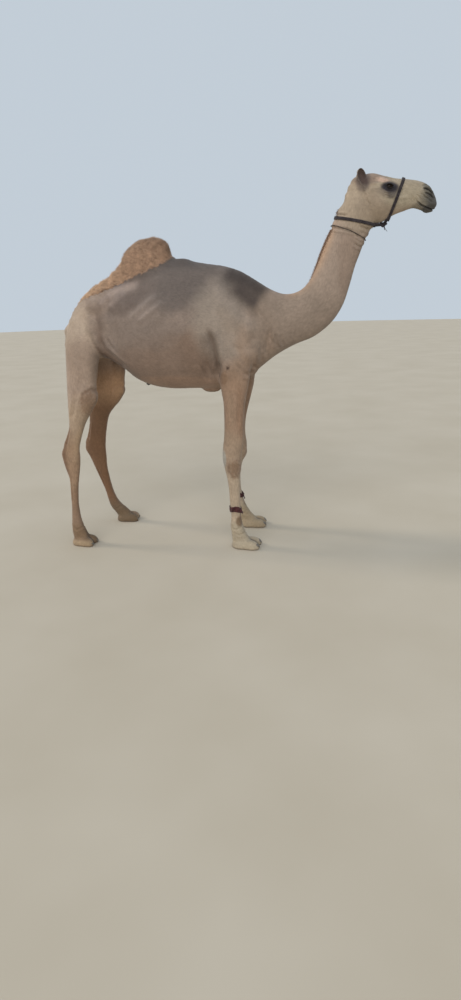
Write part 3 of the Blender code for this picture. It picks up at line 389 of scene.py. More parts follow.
# Streaks of the coat, many of them painted shade in creases and painted highlights on ridges and
# edges: strength, side, colour, width and the (x, z) of the places along it.
STREAKS = (
    (0.6, 0, 150, 136, 124, 45, 326, 1712, 411, 1646, 494, 1536, 581, 1469, 633, 1388),
    # dark withers
    (0.95, 0, 66, 57, 52, 84, 395, 1785, 480, 1745, 560, 1700, 640, 1655, 705, 1605),
    (0.9, 0, 72, 62, 57, 52, 490, 1700, 530, 1640, 580, 1592, 650, 1575),
    (0.58, 0, 166, 147, 135, 28, -340, 1645, -230, 1682, -150, 1700, -90, 1712),
    # Painted rim light: an orange highlight down the back of the neck.
    (0.55, 0, 176, 138, 106, 30, 1090, 2060, 1065, 1990, 1030, 1890, 990, 1800, 950, 1735, 905,
     1680, 840, 1640, 740, 1620),
    # Painted shade behind the elbow: a thin dark line in the crease and a broad soft band beside
    # it.
    (0.6, 0, 84, 68, 56, 14, 320, 1470, 350, 1390, 372, 1300, 380, 1230, 394, 1150, 404, 1080),
    (0.42, 0, 102, 84, 71, 52, 290, 1440, 325, 1360, 340, 1270, 345, 1180, 350, 1100),
    # Painted shade in the crease at the front of the thigh.
    (0.6, 0, 90, 69, 53, 13, -396, 1370, -390, 1270, -394, 1160, -404, 1080),
    # Painted shade in the groove round the near stifle's pad.
    (0.5, -1, 92, 70, 54, 10, -535, 965, -512, 1045, -460, 1075, -424, 1045, -430, 960, -488, 892,
     -530, 930),  # round the stifle
    (0.5, -1, 96, 74, 56, 9, 440, 600, 435, 540, 470, 498, 512, 520),
    # Painted shade under the flank, in the notch before the thigh.
    (0.85, 0, 84, 64, 50, 30, -392, 1330, -350, 1262, -300, 1215, -250, 1190),
    # Painted shade in front of the hip bone.
    (0.5, 0, 100, 82, 72, 20, -372, 1560, -370, 1460, -378, 1340),
    # Painted shade in the hollow before the near hock's tendon.
    (0.75, -1, 98, 70, 50, 20, -625, 860, -664, 755, -695, 650, -683, 528, -662, 440),
    (0.5, -1, 164, 138, 110, 14, -545, 850, -590, 740, -615, 640, -612, 560),
    # Painted shade along the flank's fold.
    (0.45, 0, 112, 92, 78, 26, -400, 1520, -385, 1400, -362, 1320, -328, 1288, -270, 1235, -200,
     1180),
    # Painted highlights along the ridges of the last ribs.
    (0.5, 0, 150, 133, 123, 22, -310, 1560, -250, 1625, -190, 1668),
    (0.34, 0, 150, 135, 125, 28, -180, 1480, -110, 1545, -50, 1590, 30, 1650),
    (0.28, 0, 146, 131, 121, 24, -120, 1480, -70, 1520, 0, 1565, 70, 1612),
    (0.45, 0, 150, 133, 123, 22, -370, 1590, -330, 1625, -290, 1655),
    # Painted shade in the furrow between two ribs.
    (0.5, 0, 98, 84, 76, 24, -230, 1500, -180, 1560, -110, 1610),
    # Painted highlight down the rear edge of the thigh.
    (0.6, 0, 170, 146, 116, 22, -660, 1330, -672, 1200, -672, 1060),
    # Painted highlight down the hip bone.
    (0.3, 0, 148, 131, 116, 26, -425, 1690, -430, 1580, -438, 1450),
    # Painted shade down the throat.
    (0.55, 0, 112, 92, 78, 16, 1300, 1975, 1270, 1915, 1240, 1860, 1225, 1780),
    (0.45, 0, 140, 118, 96, 18, 452, 1080, 462, 960, 470, 800),
    (0.5, 0, 150, 127, 108, 26, 690, 1420, 700, 1330, 720, 1270),
    (0.8, 0, 70, 58, 54, 12, 1262, 2190, 1250, 2235, 1235, 2280),
)

# Colours as the eye reads them, 0 to 255.
BASE_COAT = (158, 138, 121)
# Inside the hind legs, the first colour is a browner coat with painted shade between the legs.
INNER_LEG_BROWN_AND_SHADE, INNER_THIGH, INNER_FOOT = (112, 81, 57), (168, 134, 103), (106, 88, 67)
INNER_STRENGTH = 0.88
# Painted shade in the cleft between the toes and round the foot's lowest edge at the floor.
TOE_CLEFT_SHADE, SOLE_RIM_SHADE = (66, 54, 44), (92, 78, 64)
PAD_COLOUR = (122, 95, 73)
WOOL_ROOT, WOOL_TIP, CROUP_TIP = (132, 102, 82), (190, 156, 128), (204, 168, 134)
# Dark lids round the eyes, the lining inside the ears, and painted shade in the slits of the mouth
# and the nostrils.
EYE_RIM, EAR_LINING, MOUTH_AND_NOSTRIL_SHADE = (24, 20, 20), (78, 62, 56), (40, 36, 33)
MANE, TAIL_BACK, TASSEL = (118, 90, 70), (132, 100, 66), (96, 74, 54)
# The middle line of a hind leg: heights, and how far out it is there. Inside it the coat is darker,
# a browner coat with painted shade between the legs.
INNER_LEGS = ((0.0, 0.4, 0.6, 0.74, 0.93, 1.1), (0.250, 0.224, 0.200, 0.186, 0.168, 0.155))
TUFT_HEIGHT = 0.9       # of a tuft over the skin, in its half widths


def clear_start():
    for thing in list(bpy.data.objects):
        if thing.name in ("Cube", "Light", "Camera"):
            bpy.data.objects.remove(thing, do_unlink=True)


# ---- numbers over many points at once ----
def fade(values, start, end):
    """0 at start, 1 at end and smooth between."""
    t = np.clip((np.asarray(values, float) - start) / (end - start), 0, 1)
    return t * t * (3 - 2 * t)


def unit(vectors):
    return vectors / np.maximum(np.linalg.norm(vectors, axis=-1, keepdims=True), 1e-9)


def mirrored(place, side):
    return np.array(place) * (1, side, 1)


def inside_blob(points, centre, reach, lean=0.0):
    """1 at the middle of an ellipsoid leaning in the XZ plane, 0 at its edge, below 0 outside."""
    c, s = math.cos(math.radians(lean)), math.sin(math.radians(lean))
    off = points - np.asarray(centre)
    along = c * off[:, 0] - s * off[:, 2]
    up = s * off[:, 0] + c * off[:, 2]
    return 1 - (along / reach[0]) ** 2 - (off[:, 1] / reach[1]) ** 2 - (up / reach[2]) ** 2


def blobs(points, rows):
    """Each swell's height, and where the points lie in its ellipsoid, for each side it is on."""
    for row in rows:
        x, y, z, *reach, height = metres(row[:7])
        for side in row[8:] or ((-1, 1) if y else (1,)):
            yield height, inside_blob(points, (x, side * y, z), reach, row[7])


def path_of(places):
    return np.reshape(metres(places), (-1, 2))


def along_path(points, path):
    """How far each (x, z) is from a line through the path's places, and how much is left of the
    line there: 0 at its ends, 1 along its middle."""
    steps = np.diff(path, axis=0)
    lengths = np.concatenate([[0], np.cumsum(np.linalg.norm(steps, axis=1))])
    best, share = np.full(len(points), 9.0), np.zeros(len(points))
    for k, (start, step) in enumerate(zip(path, steps)):
        t = np.clip(((points - start) @ step) / (step @ step), 0, 1)
        away = np.linalg.norm(points - start - t[:, None] * step, axis=1)
        nearer = away < best
        best = np.where(nearer, away, best)
        reached = (lengths[k] + t * (lengths[k + 1] - lengths[k])) / lengths[-1]
        share = np.where(nearer, reached, share)
    return best, fade(share, 0, 0.22) * (1 - fade(share, 0.78, 1))


def on_side(points, side):
    return np.ones(len(points)) if side == 0 else fade(points[:, 1] * side, -0.02, 0.02)


# ---- meshes and numpy ----
def stored(items, name, width=3, kind=np.float32):
    """One property of all the items, a row for each."""
    found = np.empty(len(items) * width, kind)
    items.foreach_get(name, found)
    return found.reshape(-1, width)


def points_of(mesh):
    return stored(mesh.vertices, "co").astype(float)


def normals_of(mesh):
    return stored(mesh.vertices, "normal").astype(float)


def store(items, name, values):
    items.foreach_set(name, np.asarray(values).astype(np.float32).ravel())


def set_points(mesh, points):
    store(mesh.vertices, "co", points)
    mesh.update()


def paint(mesh, colours, name="Markings_and_painted_light"):
    layer = mesh.color_attributes.new(name, "FLOAT_COLOR", "POINT")
    store(layer.data, "color", np.column_stack([colours, np.ones(len(colours))]))


def triangle_mesh(name, points, triangles):
    mesh = bpy.data.meshes.new(name)
    mesh.vertices.add(len(points))
    store(mesh.vertices, "co", points)
    mesh.loops.add(3 * len(triangles))
    mesh.loops.foreach_set("vertex_index", triangles.astype(np.int32).ravel())
    mesh.polygons.add(len(triangles))
    mesh.polygons.foreach_set("loop_start", np.arange(0, 3 * len(triangles), 3, dtype=np.int32))
    mesh.update(calc_edges=True)
    mesh.shade_smooth()
    return mesh


def linked(name, data):
    made = bpy.data.objects.new(name, data)
    bpy.context.scene.collection.objects.link(made)
    return made


def pour(bm, mesh):
    """Moves the bmesh into a mesh."""
    bm.to_mesh(mesh)
    bm.free()


def mesh_object(name, bm):
    """A new object from the bmesh, its faces outwards."""
    bmesh.ops.recalc_face_normals(bm, faces=bm.faces)
    mesh = bpy.data.meshes.new(name)
    pour(bm, mesh)
    return linked(name, mesh)


def modify(thing, kind, **settings):
    made = thing.modifiers.new(kind, kind)
    for key, value in settings.items():
        setattr(made, key, value)


def settle(thing):
    """Replaces an object's mesh by its modifiers' result."""
    bpy.context.view_layer.update()
    evaluated = thing.evaluated_get(bpy.context.evaluated_depsgraph_get())
    mesh = bpy.data.meshes.new_from_object(evaluated)
    thing.modifiers.clear()
    thing.data = mesh


def bridge(bm, rings, closed=False, capped=True):
    """Quads between each ring and the next, with the last joined to the first or both capped."""
    for ring, following in zip(rings, rings[1:] + (rings[:1] if closed else [])):
        for k in range(len(ring)):
            after = (k + 1) % len(ring)
            bm.faces.new((ring[k], ring[after], following[after], following[k]))
    if capped and not closed:
        bm.faces.new(rings[0])
        bm.faces.new(rings[-1])


# ---- the flesh, from the same sections as the solids ----
def between_stations(points, steps):
    """Sections along a smooth curve through the stations, both ends included."""
    padded = np.vstack([2 * points[0] - points[1], points, 2 * points[-1] - points[-2]])
    sections = []
    for i in range(len(points) - 1):
        before, start, end, after = padded[i:i + 4]
        for step in range(steps):
            t = step / steps
            linear = (end - before) * t
            square = (2 * before - 5 * start + 4 * end - after) * t ** 2
            cubic = (3 * start - before - 3 * end + after) * t ** 3
            sections.append(0.5 * (2 * start + linear + square + cubic))
    return sections + [points[-1]]


def loft(bm, sections, shape, side):
    """A closed tube through the sections, squared as its shape says."""
    middle, square_first, square_last = shape
    rings = []
    for section in between_stations(sections, RINGS_BETWEEN):
        first_x, first_z, last_x, last_z, half_width, y = section
        first = Vector((first_x, side * y, first_z))
        last = Vector((last_x, side * y, last_z))
        widest = last.lerp(first, middle)
        ring = []
        for k in range(RING_SIDES):
            turn = 2 * math.pi * k / RING_SIDES
            along, across = math.cos(turn), math.sin(turn)
            end, square = (first, square_first) if along > 0 else (last, square_last)
            point = widest + (end - widest) * abs(along) ** (2 / square)
            point.y += half_width * math.copysign(abs(across) ** (2 / square), across)
            ring.append(bm.verts.new(point))
        rings.append(ring)
    bridge(bm, rings)


def blob(bm, centre, half_sizes, lean=0.0, heading=0.0):
    """An ellipsoid, leaning in the XZ plane and turned about Z, both in degrees."""
    place = (Matrix.Translation(centre)
             @ Matrix.Rotation(math.radians(heading), 4, "Z")
             @ Matrix.Rotation(math.radians(lean), 4, "Y")
             @ Matrix.Diagonal((*half_sizes, 1)))
    bmesh.ops.create_uvsphere(bm, u_segments=24, v_segments=16, radius=1, matrix=place)


def foot(bm, x, y, heading, size):
    """The broad pad and its two toes, reaching a little below the floor that flattens them."""
    turn = Matrix.Rotation(math.radians(heading), 3, "Z")
    blob(bm, Vector((x, y, 0.012)) + turn @ Vector((-0.022, 0, 0)) * size,
         (0.080 * size, 0.074 * size, 0.046), heading=heading)
    for toe in (-1, 1):
        middle = Vector((x, y, 0.016)) + turn @ Vector((0.036, toe * 0.037, 0)) * size
        blob(bm, middle, (0.066 * size, 0.041 * size, 0.044), 6, heading + toe * 7)


def melted_flesh():
    """All the flesh as one smooth skin, without its small forms."""
    bm = bmesh.new()
    for name, (sections, side) in PARTS.items():
        loft(bm, sections, SHAPES.get(name, SHAPES["leg"]), side)
    for sole in FEET:
        foot(bm, *sole)
    blob(bm, PAD_AT, PAD_SIZE)
    made = mesh_object("camel_skin", bm)
    modify(made, "REMESH", mode="VOXEL", voxel_size=VOXEL)
    modify(made, "SMOOTH", factor=0.5, iterations=SMOOTHING)
    settle(made)
    group = made.vertex_groups.new(name="body")
    for vert in made.data.vertices:
        x, _, z = vert.co
        weight = min((0.95 - x) / 0.2, (z - 0.95) / 0.2, 1.0)
        if weight > 0:
            group.add([vert.index], weight, "REPLACE")
    modify(made, "SMOOTH", factor=0.5, iterations=BODY_SMOOTHING, vertex_group=group.name)
    settle(made)
    made.vertex_groups.clear()
    points = points_of(made.data)
    moved = np.zeros(len(points))
    for height, near in blobs(points, SWELLS):
        moved += height * np.clip(near, 0, None) ** 2
    set_points(made.data, points + normals_of(made.data) * moved[:, None])
    return made


def smooth(mesh, points, weight, passes):
    """Moves the mesh to the points, each drawn towards the mean of its neighbours by its weight."""
    edges = stored(mesh.edges, "vertices", 2, np.int32)
    count = np.bincount(edges.ravel(), minlength=len(points))[:, None]
    for _ in range(passes):
        total = np.zeros_like(points)
        for axis in range(3):
            total[:, axis] = (np.bincount(edges[:, 0], points[edges[:, 1], axis], len(points))
                              + np.bincount(edges[:, 1], points[edges[:, 0], axis], len(points)))
        points = points + (total / np.maximum(count, 1) - points) * (0.5 * weight[:, None])
    set_points(mesh, points)


def split_finer(mesh, wanted):
    """Splits the faces whose corners are all wanted in four, and smooths what it split."""
    chosen = wanted(points_of(mesh))
    bm = bmesh.new()
    bm.from_mesh(mesh)
    bm.verts.ensure_lookup_table()
    edges = [edge for edge in bm.edges if all(chosen[vert.index] for vert in edge.verts)]
    bmesh.ops.subdivide_edges(bm, edges=edges, cuts=1, use_grid_fill=True)
    pour(bm, mesh)
    points = points_of(mesh)
    smooth(mesh, points, wanted(points).astype(float), 4)


def wants_medium(points):
    return (points[:, 0] > 0.62) | (points[:, 2] < 1.02)


def wants_fine(points):
    x, _, z = points.T
    head = z - 1.96 > (1.30 - x) * 0.8
    return (head & (x > 1.10)) | (z < 0.085) & (x > -0.70)


def near_eyes(points, reach, order=2):
    """Whether each point is within reach of an eye's middle, by the norm of this order."""
    away = [np.linalg.norm(points - mirrored(EYE_AT, side), order, axis=1) for side in (-1, 1)]
    return np.min(away, axis=0) < reach


def wants_finest(points):
    return near_eyes(points, 0.048, np.inf) | ((points[:, 0] > 1.525) & (points[:, 2] < 2.21))


def wants_lids(points):
    return near_eyes(points, LID_REACH)


def ear_shape(t):
    """The rolled leaf's radius and its middle's shift (x, outwards) at a share of its height."""
    waist = 0.46 + 0.54 * fade(t, 0.05, 0.66)
    tip = np.sqrt(np.clip(1 - (np.clip(t - 0.66, 0, None) / 0.34) ** 2, 0.03, 1))
    return EAR_RADIUS * waist * tip, -0.030 * t, 0.014 * t


def ear(side, levels=34, across=20):
    """A leaf rolled into an open trumpet, upright, its mouth turned forwards and outwards."""
    bm = bmesh.new()
    rings = []
    for level in range(levels):
        t = math.sin(math.pi / 2 * level / (levels - 1))
        radius, shift_x, shift_out = map(float, ear_shape(t))
        half_roll = math.radians(150 - 78 * min(1, 1.8 * t))
        centre = Vector((shift_x, side * shift_out, EAR_LENGTH * (t - EAR_ROOT)))
        ring = []
        for way, reach in ((1, radius), (-1, radius - EAR_SKIN * (1 - 0.45 * t))):
            for k in range(across + 1):
                part = (2 * k / across - 1) * way
                facing = half_roll * part + math.radians(side * EAR_TURN)
                curl = 1 + 0.10 * abs(part) ** 3
                out = Vector((-math.cos(facing), -math.sin(facing), 0))
                ring.append(bm.verts.new(centre + reach * curl * out))
        rings.append(ring)
    bridge(bm, rings, capped=False)
    count = len(rings[0])
    for ring in (rings[0], rings[-1]):
        for k in range(across):
            bm.faces.new((ring[k], ring[k + 1], ring[count - 2 - k], ring[count - 1 - k]))
    bmesh.ops.translate(bm, vec=mirrored(EAR_AT, side), verts=bm.verts)
    return mesh_object("ear", bm)


def join_ears(skin):
    for side in (-1, 1):
        leaf = ear(side)
        modify(skin, "BOOLEAN", operation="UNION", solver="EXACT", object=leaf)
        settle(skin)
        bpy.data.objects.remove(leaf, do_unlink=True)
    points = points_of(skin.data)
    weight = np.zeros(len(points))
    for side in (-1, 1):
        away = np.linalg.norm(points - (mirrored(EAR_AT, side) + (0, 0, -0.002)), axis=1)
        weight = np.maximum(weight, 1 - fade(away, 0.022, 0.038))
    smooth(skin.data, points, weight, 5)


# ---- what the skin is like at each place ----
def wool_share(points):
    """1 where the hump's and the croup's long wool grows, 0 on the clipped coat."""
    x, y, z = points.T
    line = np.interp(x, *path_of(CLIP_LINE).T)
    ends = fade(x, -0.690, -0.670) * (1 - fade(x, 0.098, 0.110))
    edge = 0.004 * np.sin(x * 190) + 0.003 * np.sin(x * 83 + 40 * y)
    return ends * fade(z - line + edge, -0.004, 0.008)


def pad_share(points):
    """1 on the bare pads of the joints, 0 elsewhere."""
    x, y, z = points.T
    share = np.zeros(len(points))
    ragged = np.sin(131 * x + 2 * np.sin(97 * z)) * np.sin(117 * z + 2 * np.sin(83 * x + 40 * y))
    for _, near in blobs(points, PADS):
        share = np.maximum(share, fade(near + 0.45 * ragged, -0.35, 0.75))
    return share


def wool_height(points):
    """How far the wool's tips stand off the skin."""
    return np.interp(points[:, 0], metres((-660, -520, -440, -360, -300, -220, -100, 30, 90)),
                     metres((8, 11, 14, 17, 17, 15, 14, 14, 6)))


def coat_depth(points):
    """How far the skin lies under the coat's outside."""
    x, _, z = points.T
    muzzle = fade(x, 1.56, 1.62) * fade(z, 1.9, 2.0)
    bare = np.maximum(muzzle, 1 - fade(z, 0.03, 0.10))
    wool = CROUP_WOOL + (WOOL_DEPTH - CROUP_WOOL) * fade(x, -0.45, -0.15)
    return SHORT_COAT * (1 - bare) + 0.55 * wool_share(points) * wool


# ---- working the small forms into the skin ----
def eye_frame(side):
    """The eye's centre and its outward, along-the-slit and upward directions."""
    out = Vector((0.13, side * 1.0, 0.10)).normalized()
    along = Vector((math.cos(math.radians(-14)), 0, math.sin(math.radians(-14))))
    along = (along - out * along.dot(out)).normalized()
    up = along.cross(out) * -side
    up = up if up.z > 0 else -up
    return mirrored(EYE_AT, side), np.array(out), np.array(along), np.array(up)


def lid_coordinates(points, side):
    """Where points lie round an eye: how far off, which way, how squarely before it, how far
    along the slit and above it, and the heights there of the upper and the lower lid."""
    centre, out, along, up = eye_frame(side)
    off = points - centre
    distance = np.linalg.norm(off, axis=1)
    depth = np.maximum(off @ out, 0.15 * distance)
    across, high = (off @ along) / depth, (off @ up) / depth
    slit = across / SLIT
    upper = UPPER_LID * np.clip(1 - (slit - 0.10) ** 2, 0, None) ** 0.75
    lower = -LOWER_LID * np.clip(1 - (slit + 0.05) ** 2, 0, None) ** 0.90
    facing = off @ out / np.maximum(distance, 1e-6)
    return distance, off, facing, across, high, upper, lower


def beyond_lids(points, side):
    """How far points are from an eye, how squarely before it, and how far outside its slit."""
    distance, _, facing, _, high, upper, lower = lid_coordinates(points, side)
    return distance, facing, np.maximum(high - upper, lower - high)


def open_lids(points):
    """Draws the skin over the eyeballs as lids, and into the head inside the slit."""
    for side in (-1, 1):
        centre, out, _, _ = eye_frame(side)
        near = np.flatnonzero(np.linalg.norm(points - centre, axis=1) < 0.06)
        off = points[near] - centre
        outwards = off @ out
        sideways = np.linalg.norm(off - outwards[:, None] * out, axis=1)
        orbit = (EYE_RADIUS + LID) * np.exp(-(sideways / 0.029) ** 2)
        rise = np.clip(orbit - outwards, 0, None) * fade(outwards, -0.002, 0.006)
        points[near] += rise[:, None] * out
        distance, off, facing, across, high, upper, lower = lid_coordinates(points[near], side)
        edge = np.where(high > 0.5 * (upper + lower), high - upper, lower - high)
        edge = np.where(np.abs(across) > SLIT, np.maximum(edge, np.abs(across) - SLIT), edge)
        spread = np.hypot(across, high)
        lid_radius = EYE_RADIUS + LID + 0.0014 * np.exp(-(edge / 0.16) ** 2)
        hold = (1 - fade(spread, 0.95, 2.1)) * fade(facing, 0.10, 0.35)
        hold = np.where(distance > lid_radius, hold * (1 - fade(spread, 0.90, 1.25)), hold)
        target = distance + (lid_radius - distance) * hold
        inner = EYE_RADIUS - 0.0055
        open_share = (1 - fade(edge, -0.07, 0.02)) * fade(facing, 0.2, 0.4)
        target = target + (inner - target) * open_share
        points[near] = centre + off * (target / np.maximum(distance, 1e-6))[:, None]
    return points


def work_in(points, normals):
    """Folds, ridges, small swells and pads, along the skin's own normals."""
    moved = np.zeros(len(points))
    flat = points[:, [0, 2]]
    for side, *sizes in FOLDS:
        path = path_of(sizes[3:])
        width, depth, lips = metres(sizes[:3])
        low, high = path.min(axis=0) - 4 * width, path.max(axis=0) + 4 * width
        near = np.flatnonzero(((flat > low) & (flat < high)).all(axis=1))
        away, taper = along_path(flat[near], path)
        away = away / width
        shape = -depth * np.exp(-away ** 2) + lips * np.exp(-((away - 1.9) / 0.8) ** 2)
        sideways = fade(np.abs(normals[near, 1]), 0.05, 0.45)
        sideways = np.where(flat[near, 0] > 1.56, 1.0, sideways)
        moved[near] += shape * taper * sideways * on_side(points[near], side)
    for height, near in blobs(points, SMALL_SWELLS):
        moved += height * np.clip(near, 0, None) ** 1.5
    for height, near in blobs(points, PADS):
        moved += height * fade(near, -0.2, 0.7)
    return moved


def finished_skin():
    skin = melted_flesh()
    for wanted in (wants_medium, wants_fine, wants_finest, wants_lids, wants_lids):
        split_finer(skin.data, wanted)
    points, normals = points_of(skin.data), normals_of(skin.data)
    moved = work_in(points, normals) - coat_depth(points)
    points = open_lids(points + normals * moved[:, None])
    points[:, 2] = np.maximum(points[:, 2], 0.0)
    set_points(skin.data, points)
    # Triangles that add nothing go, except round the eyes.
    kept = skin.vertex_groups.new(name="kept whole")
    kept.add(np.flatnonzero(wants_lids(points_of(skin.data))).tolist(), 1.0, "REPLACE")
    modify(skin, "DECIMATE", ratio=SKIN_KEPT, vertex_group=kept.name, invert_vertex_group=True)
    settle(skin)
    join_ears(skin)
    skin.data.shade_smooth()
    return skin


# ---- markings, painted shade and painted highlights, the same on the skin and on the tufts ----
def linear(red, green, blue):
    """A colour as the eye reads it (0 to 255), made linear."""
    parts = np.array((red, green, blue)) / 255
    return np.where(parts <= 0.04045, parts / 12.92, ((parts + 0.055) / 1.055) ** 2.4)


def mottle(points):
    """Uneven tone in patches of one to five centimetres, about -1 to 1."""
    rng = np.random.default_rng(SEED + 5)
    total = np.zeros(len(points))
    for length in np.geomspace(0.014, 0.055, 12):
        way = rng.standard_normal(3)
        way *= 2 * math.pi / length / np.linalg.norm(way)
        total += np.sin(points @ way + rng.random() * 6 + 2 * np.sin(points @ way[[1, 2, 0]] * 0.6))
    return total / 3


def ear_inside(points, side):
    """1 within the trumpet of an ear, 0 on its back."""
    x, y, z = (points - mirrored(EAR_AT, side)).T
    t = np.clip(z / EAR_LENGTH + EAR_ROOT, 0, 1)
    radius, middle_x, middle_out = ear_shape(t)
    away = np.hypot(x - middle_x, y - side * middle_out)
    skin = EAR_SKIN * (1 - 0.45 * t)
    return (away < radius - 0.55 * skin) * fade(z, 0.012, 0.030) * (away < 0.03)


def markings_and_painted_light(points):
    """The coat's colour at each place, linear: its markings, with painted shade and painted
    highlights laid in.
    """
    x, y, z = points.T
    flat = points[:, [0, 2]]
    colour = np.tile(linear(*BASE_COAT), (len(points), 1))
    ripple = (0.06 * np.sin(x * 23 + np.sin(z * 31))
              + 0.06 * np.sin(z * 27 + np.sin(x * 19) + y * 14))

    def lay(shade, share):
        colour[:] += (linear(*shade) - colour) * share[:, None]

    for strength, side, lean, *shade, at_x, at_z, reach_x, reach_z in PATCHES:
        at_x, at_z, reach_x, reach_z = metres((at_x, at_z, reach_x, reach_z))
        near = inside_blob(points, (at_x, 0, at_z), (reach_x, 9.0, reach_z), lean)
        lay(shade, strength * fade(near + ripple, 0.0, 0.75) * on_side(points, side))
    for strength, side, red, green, blue, width, *places in STREAKS:
        away, taper = along_path(flat, path_of(places))
        lay((red, green, blue),
            strength * taper * np.exp(-(away / (width / 1000)) ** 2) * on_side(points, side))
    middle = np.interp(z, *INNER_LEGS)
    inner = fade(middle - np.abs(y), -0.006, 0.014) * (1 - fade(z, 1.05, 1.25))
    inner *= 1 - fade(x, -0.36, -0.26)
    # Inside the hind legs: a browner coat with painted shade between the legs, lighter again high
    # on the thighs and darker on the feet.
    lay(INNER_LEG_BROWN_AND_SHADE, INNER_STRENGTH * inner)
    lay(INNER_THIGH, INNER_STRENGTH * inner * fade(z, 0.86, 1.02))
    lay(INNER_FOOT, INNER_STRENGTH * inner * (1 - fade(z, 0.10, 0.22)))
    # Painted shade in the cleft between the toes and along the foot's lowest edge, where it meets
    # the floor.
    for foot_x, foot_y, heading, size in FEET:
        c, s = math.cos(math.radians(heading)), math.sin(math.radians(heading))
        ahead = ((x - foot_x) * c + (y - foot_y) * s) / size
        beside = ((y - foot_y) * c - (x - foot_x) * s) / size
        cleft = np.exp(-(beside / 0.011) ** 2) * fade(ahead, 0.010, 0.040) * (z < 0.14)
        rim = (1 - fade(z, 0.003, 0.014)) * (np.hypot(ahead, beside) < 0.16)
        lay(TOE_CLEFT_SHADE, 0.75 * cleft * (np.abs(beside) < 0.06) * (ahead < 0.14))
        lay(SOLE_RIM_SHADE, 0.55 * rim)
    lay(PAD_COLOUR, 0.70 * pad_share(points))
    lay(WOOL_ROOT, 0.9 * wool_share(points))
    for side in (-1, 1):
        distance, facing, edge = beyond_lids(points, side)
        rim = (1 - fade(edge, 0.25, 1.10)) * fade(facing, 0.1, 0.4)
        lay(EYE_RIM, rim * (1 - fade(distance, 0.035, 0.045)))
        lay(EAR_LINING, 0.85 * ear_inside(points, side))
    # Painted shade along the slits of the mouth and the nostrils.
    for _, _, _, _, *places in (FOLDS[0], FOLDS[1], FOLDS[3]):    # mouth and nostril
        away, taper = along_path(flat, path_of(places))
        lay(MOUTH_AND_NOSTRIL_SHADE, 0.80 * taper * np.exp(-(away / 0.005) ** 2))
    return colour * (1 + 0.045 * mottle(points))[:, None]


# ---- how the hair lies ----
def axis_of(name):
    """Places along the middle of a part, as an array."""
    sections, side = PARTS[name]
    rows = np.array(between_stations(sections, 4))
    return np.stack([(rows[:, 0] + rows[:, 2]) / 2, side * rows[:, 5],
                     (rows[:, 1] + rows[:, 3]) / 2], axis=1)


def about_axis(points, name):
    """For each point: its share of the way along the part's middle line, the line's direction
    there, and the point's turn round it."""
    line = axis_of(name)
    steps = np.gradient(line, axis=0)
    length = np.concatenate([[0], np.cumsum(np.linalg.norm(np.diff(line, axis=0), axis=1))])
    nearest = np.concatenate([
        np.argmin(((points[start:start + 20000, None] - line[None]) ** 2).sum(axis=2), axis=1)
        for start in range(0, len(points), 20000)])
    direction = unit(steps[nearest])
    off = points - line[nearest]
    share = (length[nearest] + (off * direction).sum(axis=1)) / length[-1]
    above = np.cross(direction, (0.0, 1.0, 0.0))
    return share, direction, np.arctan2(off[:, 1], (off * above).sum(axis=1))


def parts_of(points):
    """How far each point belongs to the head, the neck, the legs and the trunk."""
    x, _, z = points.T
    head = fade((x - 1.08) * 0.733 + (z - 2.27) * 0.68, -0.03, 0.05)
    neck = fade(x, 0.58, 0.80) * (1 - head)
    fore = (1 - fade(z, 1.00, 1.25)) * fade(x, 0.1, 0.2) * (1 - neck - head)
    hind = (1 - fade(z, 1.10, 1.40)) * (1 - fade(x, -0.36, -0.20)) * (1 - neck - head)
    return {"head": head, "neck": neck, "fore": fore, "hind": hind,
            "trunk": np.clip(1 - head - neck - fore - hind, 0, 1)}


def along_skin(ways, normals):
    return unit(ways - (ways * normals).sum(axis=1, keepdims=True) * normals)


def lie_of_hair(points, normals):
    """The way the hair lies: from nose to tail and down the legs, along the skin."""
    share = parts_of(points)
    down = np.array((0.0, 0.0, -1.0))
    lie = share["trunk"][:, None] * (np.array((-0.85, 0.0, -0.15))
                                     + 0.55 * np.abs(normals[:, 1:2]) * down)
    for part in ("head", "neck"):
        lie += share[part][:, None] * -about_axis(points, part)[1]
    for part in ("fore", "hind"):
        way = np.where(points[:, 1:2] < 0, about_axis(points, part + "leg_right")[1],
                       about_axis(points, part + "leg_left")[1])
        lie += share[part][:, None] * way
    lie += 0.12 * np.cross(normals, lie) * np.sin(points[:, 0:1] * 9 + points[:, 2:3] * 5)
    return along_skin(lie, normals)


def ruffled(rng, points, normals, spread):
    """The lie of the hair, thrown to either side at random."""
    lie = lie_of_hair(points, normals)
    return unit(lie + spread * rng.standard_normal((len(points), 1)) * np.cross(normals, lie))


# ---- tufts of solid mesh ----
def scattered(rng, skin, weights, count):
    """Roots spread over the skin by area and weight: places and normals there."""
    points, normals, triangles = skin["points"], skin["normals"], skin["triangles"]
    corners = points[triangles]
    sides = np.cross(corners[:, 1] - corners[:, 0], corners[:, 2] - corners[:, 0])
    total = np.cumsum(np.linalg.norm(sides, axis=1) * weights[triangles].mean(axis=1))
    wanted = (np.arange(count) + rng.random(count)) / count * total[-1]
    chosen = np.minimum(np.searchsorted(total, wanted), len(triangles) - 1)
    a, b = np.sqrt(rng.random(count)), rng.random(count)
    shares = np.stack([1 - a, a * (1 - b), a * b], axis=1)[:, :, None]
    places = (points[triangles[chosen]] * shares).sum(axis=1)
    return places, unit((normals[triangles[chosen]] * shares).sum(axis=1))


def one_chart(name):
    return lambda roots: [(name, np.ones(len(roots), bool))]


def leg_charts(roots):
    hind, left = roots[:, 0] < -0.1, roots[:, 1] > 0
    return [("foreleg_right", ~hind & ~left), ("foreleg_left", ~hind & left),
            ("hindleg_right", hind & ~left), ("hindleg_left", hind & left)]


